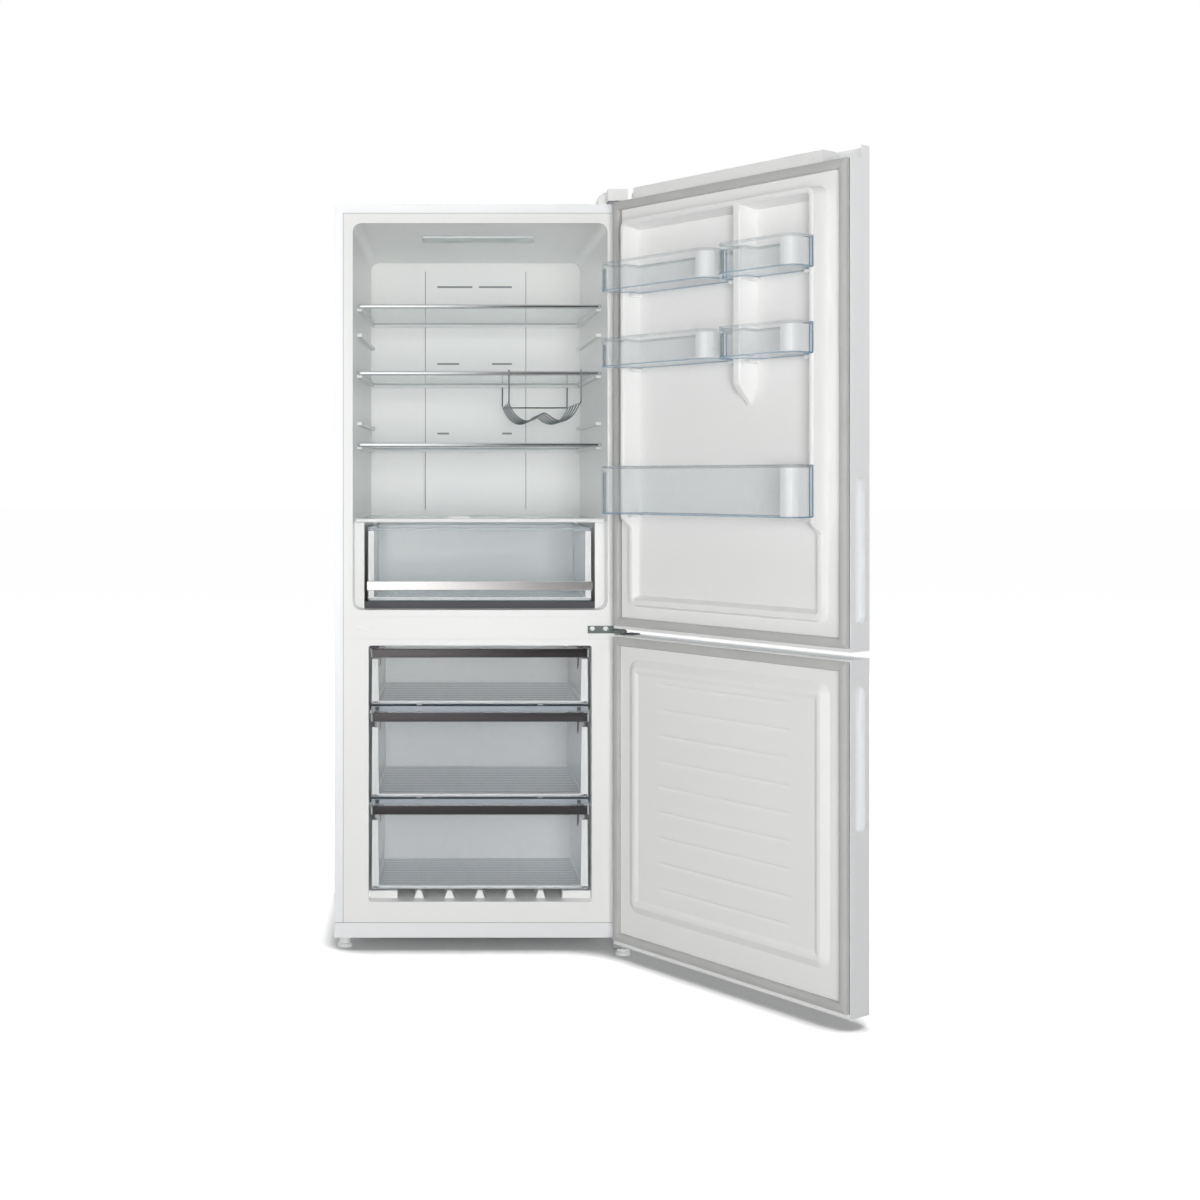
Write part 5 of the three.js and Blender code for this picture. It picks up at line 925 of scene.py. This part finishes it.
class FRIDGE_OT_doors(bpy.types.Operator):
    """Build the moulded liners of both doors and the painted shade lines at their seals, and smooth the rest
    """

    bl_idname = "fridge.doors"
    bl_label = "Doors"

    def execute(self, context):
        smoothed("fridge_door_skin", "paint")
        smoothed("freezer_door_skin", "paint")
        smoothed("fridge_gasket", "seal", crease=25)
        smoothed("freezer_gasket", "seal", crease=25)
        self.fridge_liner()
        self.freezer_liner()
        self.seal_shades()
        return {"FINISHED"}

    def seal_shades(self):
        """Thin dark strips of painted shade in the grooves beside the seals, where the raised seals shade
        the door: outside them at the free edge of each door, and inside them at the fridge door's hinge
        edge."""
        for door, inside in (("fridge_door", True), ("freezer_door", False)):
            low, high = span(door.replace("_door", "_gasket"))
            places = [(*SEAL_SHADE_FREE, 0), (*SEAL_SHADE_HINGE, 20)][: 1 + inside]
            strips = [
                block((x0, DOOR_BACK, low[2] + cut), (x1, DOOR_BACK + 0.6, high[2] - cut), 0.2)
                for x0, x1, cut in places
            ]
            add_piece(f"{door}_seal_line", door, merged(*strips), ["dark"], on_door=True)

    def fridge_liner(self):
        """A flat sheet, a rim whose rounded profile is carried round a rounded rectangle and drops
        low at the foot of the door, and an upright rib that slopes away at its lower end."""
        foot = DOOR_BACK - SHEET / 2
        corners = [(0, foot), (DYKE_FOOT, foot), (18, DYKE_RISE), (6, DYKE_RISE)]
        profile = rounded(corners, [0.5, 0.5, 6, 5], steps=6)
        least = (DYKE_LOW - foot) / (DYKE_RISE - foot)
        levels = DYKE_STEP + np.linspace(-0.1, 1.1, 13) * DYKE_RUN

        def rise(z):
            return least + (1 - least) * smooth((z - DYKE_STEP) / DYKE_RUN)

        rim = frame_round(profile, DYKE_HALF, DYKE_BOTTOM, DYKE_TOP, DYKE_RADIUS, levels, rise)
        crest = DYKE_RISE - 0.4
        section = rounded([(-22, foot), (22, foot), (10, crest), (-10, crest)], [0.5, 0.5, 5, 5])
        z = np.append(np.linspace(RIB_BOTTOM, RIB_BOTTOM + RIB_RAMP, 10), DYKE_TOP - 12)
        share = smooth((z - RIB_BOTTOM) / RIB_RAMP * 0.97 + 0.03)
        rib = stacked([
            level(section * [0.5 + s / 2, s] + [RIB_X, foot * (1 - s)], height)
            for s, height in zip(share, z)
        ])
        lugs = []
        for number, (bottom, _) in enumerate(BINS):
            left, right = bin_neck(number)
            for x0, x1 in ((left - 6, left + 8), (right - 8, right + 6)):
                lugs.append(block((x0, foot, bottom - GAP - 8), (x1, 20, bottom - GAP), 2))
        skin = merged(self.sheet(FRIDGE_SHEET, 25, 40), rim, rib, *lugs)
        add_piece("fridge_door_liner_moulding", "fridge_door", skin, ["liner"],
                  ("fridge_door_liner",), on_door=True)

    def sheet(self, ends, columns, rows):
        """A flat sheet over a door's back, on a grid of X and Z."""
        return relief(np.linspace(-SHEET_HALF, SHEET_HALF, columns), np.linspace(*ends, rows),
                      DOOR_BACK - SHEET, lambda x, z: DOOR_BACK + 0 * x)

    def freezer_liner(self):
        """A raised rim with a gentle outer slope round a sunk field, whose level grooves are a
        rounded notch in Z that fades out in X towards both ends."""
        half, z0, z1 = PLATEAU
        foot = DOOR_BACK - SHEET / 2
        crest = DOOR_BACK + PLATEAU_RISE
        field = crest - PLATEAU_SINK
        corners = [(0, foot), (44, foot), (37, field), (28, crest), (20, crest)]
        profile = rounded(corners, [0.5, 0.5, 4, 4, 9], steps=5)
        rim = frame_round(profile, half, z0, z1, PLATEAU_RADIUS)
        heights = GROOVE_TOP - GROOVE_PITCH * np.arange(GROOVES)
        fine = np.concatenate([heights + d for d in (-9, -6, -4, -2.5, -1.2, 0, 1.2, 2.5, 4)])
        z = np.unique(np.concatenate([[z0 + 30, z1 - 30], fine, np.linspace(z0 + 31, z1 - 31, 30)]))
        fade = np.linspace(GROOVE_HALF, GROOVE_HALF + GROOVE_FADE, 9)
        x = np.concatenate([[-268, -240], -fade[::-1], np.linspace(-150, 150, 7), fade, [240, 268]])

        def height(grid_x, grid_z):
            ends = smooth((GROOVE_HALF + GROOVE_FADE - np.abs(grid_x)) / GROOVE_FADE)
            gap = grid_z[..., None] - heights
            notch = np.exp(-(gap / np.where(gap > 0, NOTCH_UP, NOTCH_DOWN)) ** 2).sum(-1)
            return field - GROOVE_DEPTH * notch * ends

        middle = relief(x, z, foot, height)
        add_piece("freezer_door_liner_moulding", "freezer_door",
                  merged(self.sheet(FREEZER_SHEET, 15, 20), rim, middle),
                  ["liner"], ("freezer_door_liner",), on_door=True, crease=70)
        stop = block(DOOR_STOP_LOW, DOOR_STOP_HIGH, 0.8)
        add_piece("freezer_door_stop", "freezer_door", stop, ["dark"], on_door=True)


def bin_ends(number):
    """Left and right ends of a door bin, seen with the door shut from inside."""
    if number in (0, 2):
        return BIN_SPLIT[1], BIN_HALF
    if number in (1, 3):
        return -BIN_HALF, BIN_SPLIT[0]
    return -BIN_HALF, BIN_HALF


def bin_neck(number):
    """Ends of the narrow back part of a bin, between the rims and the rib."""
    left, right = bin_ends(number)
    return (
        RIB_X + RIB_CLEAR if left == BIN_SPLIT[1] else -NECK_HALF,
        RIB_X - RIB_CLEAR if right == BIN_SPLIT[0] else NECK_HALF,
    )


class FRIDGE_OT_bins(bpy.types.Operator):
    """Build the clear door bins with their frosted ends, blue ribs and fluted corners"""

    bl_idname = "fridge.bins"
    bl_label = "Door bins"

    def execute(self, context):
        for number, (bottom, height) in enumerate(BINS):
            body = f"door_bin_{number + 1}"
            left, right = bin_ends(number)
            top = bottom + height
            skin = tray(*self.outline(number), bottom, top, BIN_WALL, BIN_WALL, 3, lip=0.8)
            add_piece(f"{body}_moulding", body, skin,
                      ["clear_plastic", "clear_edge", "clear_floor", "clear_rim"], (body,),
                      on_door=True)
            self.end_cap(body, left, bottom, top)
            self.end_lines(body, left, bottom, top)
            self.flutes(body, right, bottom, top)
        return {"FINISHED"}

    def outline(self, number):
        """Corners and radii of a bin's plan, anticlockwise from its back left."""
        left, right = bin_ends(number)
        neck_left, neck_right = bin_neck(number)
        neck_left, neck_right = max(neck_left, left), min(neck_right, right)
        corners, radii = [(neck_left, BIN_BACK), (neck_right, BIN_BACK)], [4, 4]
        if neck_right < right - 1:
            corners += [(neck_right, BIN_SHOULDER), (right, BIN_SHOULDER)]
            radii += [3, 3]
        corners += [(right, BIN_FRONT), (left, BIN_FRONT)]
        radii += [BIN_CORNER, BIN_CORNER]
        if neck_left > left + 1:
            corners += [(left, BIN_SHOULDER), (neck_left, BIN_SHOULDER)]
            radii += [3, 3]
        return corners, radii

    def end_cap(self, body, left, bottom, top):
        """A thin frosted wall inside the free end: straight, then round the front corner."""
        centre = (left + BIN_CORNER, BIN_FRONT - BIN_CORNER)
        angle = np.linspace(math.pi, math.pi / 2, 9)
        walls = []
        for inset in (BIN_WALL + 0.2, BIN_WALL + 1.2):
            arc = around(centre, BIN_CORNER - inset, angle)
            ends = (left + inset, BIN_SHOULDER + 5), (centre[0] + 8, BIN_FRONT - inset)
            walls.append(np.concatenate([ends[:1], arc, ends[1:]]))
        self.thin_wall(f"{body}_end", body, walls, bottom, top - CAP_DROP, "frosted")

    def end_lines(self, body, left, bottom, top):
        """Two thin blue ribs inside the free end's wall, beside the liner."""
        x0, x1 = left + 0.3, left + BIN_WALL - 0.3
        ribs = [
            block((x0, BIN_SHOULDER + y, bottom + 2), (x1, BIN_SHOULDER + y + 2.6, top - 1.5), 0.3)
            for y in (0.6, 10.5)
        ]
        add_piece(f"{body}_end_lines", body, merged(*ribs), ["rib_blue"], on_door=True)

    def flutes(self, body, right, bottom, top):
        """A thin wavy wall inside the hinge-side front corner: an arc whose radius rises and falls
        with a cosine along it."""
        centre = (right - BIN_CORNER, BIN_FRONT - BIN_CORNER)
        count = sizes().flutes
        t = np.linspace(0, 1, count * 8 + 1)
        radius = BIN_CORNER - BIN_WALL - 1.6 + 0.9 * np.cos(t * 2 * math.pi * count)
        walls = [around(centre, radius - inset, t * math.pi / 2) for inset in (0, 1)]
        self.thin_wall(f"{body}_flutes", body, walls, bottom, top - FLUTE_DROP, "fluted")

    def thin_wall(self, name, body, walls, bottom, top, finish):
        """A wall between two lines in plan, from the floor of the bin up to top."""
        loop = np.concatenate([walls[0], walls[1][::-1]])
        skin = stacked([level(loop, bottom + BIN_FLOOR), level(loop, top)])
        add_piece(name, body, skin, [finish], on_door=True)


class FRIDGE_OT_stage(bpy.types.Operator):
    """Lay the floor and set the lamps, the white room and the camera"""

    bl_idname = "fridge.stage"
    bl_label = "Stage"

    def execute(self, context):
        self.floor()
        self.card()
        self.world()
        for name, place, side, setting in LAMPS:
            self.lamp(name, place, side, getattr(sizes(), setting))
        self.camera()
        context.scene.view_settings.view_transform = "Standard"
        context.scene.cycles.transparent_max_bounces = CLEAR_LAYERS
        context.scene.cycles.diffuse_bounces = WHITE_BOUNCES
        return {"FINISHED"}

    def plane(self, name, corners):
        """A four-sided stage piece and the empty node tree of its material."""
        mesh = bpy.data.meshes.new(name)
        mesh.from_pydata(corners, [], [(0, 1, 2, 3)])
        made = bpy.data.objects.new(name, mesh)
        bpy.context.scene.collection.objects.link(made)
        tree = new_material(name)
        mesh.materials.append(bpy.data.materials[name])
        return made, tree

    def floor(self):
        """A plain white floor that looks white to the camera and keeps the object's shadow: to the camera it
        glows, and less so the more of the object stands within 12 cm over it, which paints a contact shadow
        under the object."""
        _, tree = self.plane("floor", [(-40, -20, 0), (40, -20, 0), (40, 60, 0), (-40, 60, 0)])
        plain = add_node(tree, "BsdfDiffuse", {"Color": (0.7, 0.7, 0.7, 1)})
        seen = add_node(tree, "LightPath").outputs["Is Camera Ray"]
        # painted contact shadow: the glow is cut where ambient occlusion finds the object close over the
        # floor
        near = add_node(tree, "AmbientOcclusion", {"Distance": 0.12}, samples=12)
        contact_shadow = add_node(
            tree, "MapRange",
            {"Value": near.outputs["AO"], "From Min": 0.5, "From Max": 0.82, "To Max": 0.85},
            interpolation_type="SMOOTHSTEP")
        share = add_node(tree, "Math", {0: seen, 1: contact_shadow.outputs["Result"]}, operation="MULTIPLY")
        glow = add_node(tree, "Emission", {"Strength": share.outputs["Value"]})
        both = add_node(tree, "AddShader", {0: plain.outputs["BSDF"], 1: glow.outputs["Emission"]})
        add_node(tree, "OutputMaterial", {"Surface": both.outputs["Shader"]})

    def card(self):
        """A tall card in front that only reflections see: white at the left, dark at the right."""
        made, tree = self.plane(
            "card", [(-4, -4.6, -0.5), (4, -4.6, -0.5), (4, -4.6, 4), (-4, -4.6, 4)])
        place = add_node(tree, "TexCoord").outputs["Object"]
        split = add_node(tree, "SeparateXYZ", {"Vector": place})
        across = add_node(
            tree, "MapRange",
            {"Value": split.outputs["X"], "From Min": -0.5, "From Max": 0.12, "To Min": 1.8,
             "To Max": 0.03},
            interpolation_type="SMOOTHSTEP")
        glow = add_node(tree, "Emission", {"Strength": across.outputs["Result"]})
        add_node(tree, "OutputMaterial", {"Surface": glow.outputs["Emission"]})
        made.visible_camera = False
        made.visible_diffuse = False
        made.visible_transmission = False
        made.visible_shadow = False
        made.visible_volume_scatter = False

    def world(self):
        """Even light from all round; sight, mirrors and glass see plain white."""
        world = bpy.data.worlds.new("room")
        bpy.context.scene.world = world
        world.use_nodes = True
        tree = world.node_tree
        tree.nodes.clear()
        path = add_node(tree, "LightPath").outputs
        white = path["Is Camera Ray"]
        for ray in ("Is Glossy Ray", "Is Transmission Ray"):
            white = add_node(tree, "Math", {0: white, 1: path[ray]}, operation="MAXIMUM").outputs["Value"]
        strength = add_node(
            tree, "MapRange", {"Value": white, "To Min": sizes().room_light, "To Max": 1.0})
        sky = add_node(
            tree, "Background", {"Color": (1, 1, 1, 1), "Strength": strength.outputs["Result"]})
        add_node(tree, "OutputWorld", {"Surface": sky.outputs["Background"]})

    def lamp(self, name, place, side, power):
        """A square lamp at place that looks at the middle of the refrigerator, unseen in mirrors."""
        light = bpy.data.lights.new(name, "AREA")
        light.size = side
        light.energy = power
        made = bpy.data.objects.new(name, light)
        made.location = place
        ahead = np.array(LAMP_AIM) - np.array(place)
        turn = math.atan2(ahead[0], -ahead[1])
        tilt = math.atan2(math.hypot(ahead[0], ahead[1]), -ahead[2])
        made.rotation_euler = (tilt, 0, math.pi + turn)
        made.visible_glossy = False
        bpy.context.scene.collection.objects.link(made)

    def camera(self):
        """The photograph's place: level, 3.93 m in front of the doors' plane."""
        lens = bpy.data.cameras.new("camera")
        lens.sensor_width = 36
        lens.lens = LENS
        lens.shift_x, lens.shift_y = LENS_SHIFT
        lens.clip_end = 200
        made = bpy.data.objects.new("camera", lens)
        made.location = np.array(CAMERA_PLACE) * MM + ORIGIN
        made.rotation_euler = (math.pi / 2, 0, 0)
        bpy.context.scene.collection.objects.link(made)
        bpy.context.scene.camera = made


class FRIDGE_PT_panel(bpy.types.Panel):
    """Builds the refrigerator piece by piece."""

    bl_idname = "FRIDGE_PT_panel"
    bl_label = "Refrigerator"
    bl_space_type = "VIEW_3D"
    bl_region_type = "UI"
    bl_category = "Refrigerator"

    def draw(self, context):
        for operator in OPERATORS:
            self.layout.operator(operator.bl_idname)
        for group in (context.scene.fridge_sizes, context.scene.fridge_colours):
            for name in group.bl_rna.properties.keys():
                if name not in ("rna_type", "name"):
                    self.layout.prop(group, name)


OPERATORS = (
    FRIDGE_OT_finishes,
    FRIDGE_OT_cabinet,
    FRIDGE_OT_shelves,
    FRIDGE_OT_rack,
    FRIDGE_OT_crisper,
    FRIDGE_OT_freezer,
    FRIDGE_OT_doors,
    FRIDGE_OT_bins,
    FRIDGE_OT_stage,
)
CLASSES = (FridgeColours, FridgeSizes, *OPERATORS, FRIDGE_PT_panel)


def register():
    for made in CLASSES:
        bpy.utils.register_class(made)
    bpy.types.Scene.fridge_colours = bpy.props.PointerProperty(type=FridgeColours)
    bpy.types.Scene.fridge_sizes = bpy.props.PointerProperty(type=FridgeSizes)


def unregister():
    del bpy.types.Scene.fridge_sizes
    del bpy.types.Scene.fridge_colours
    for made in reversed(CLASSES):
        bpy.utils.unregister_class(made)


def plain(bounds):
    """A box's two corners as lists of numbers."""
    return [[float(v) for v in corner] for corner in bounds]


def main():
    """Builds everything."""
    register()
    for operator in OPERATORS:
        getattr(bpy.ops.fridge, operator.bl_idname.split(".")[1])()
    bpy.context.view_layer.update()


if __name__ == "__main__":
    main()
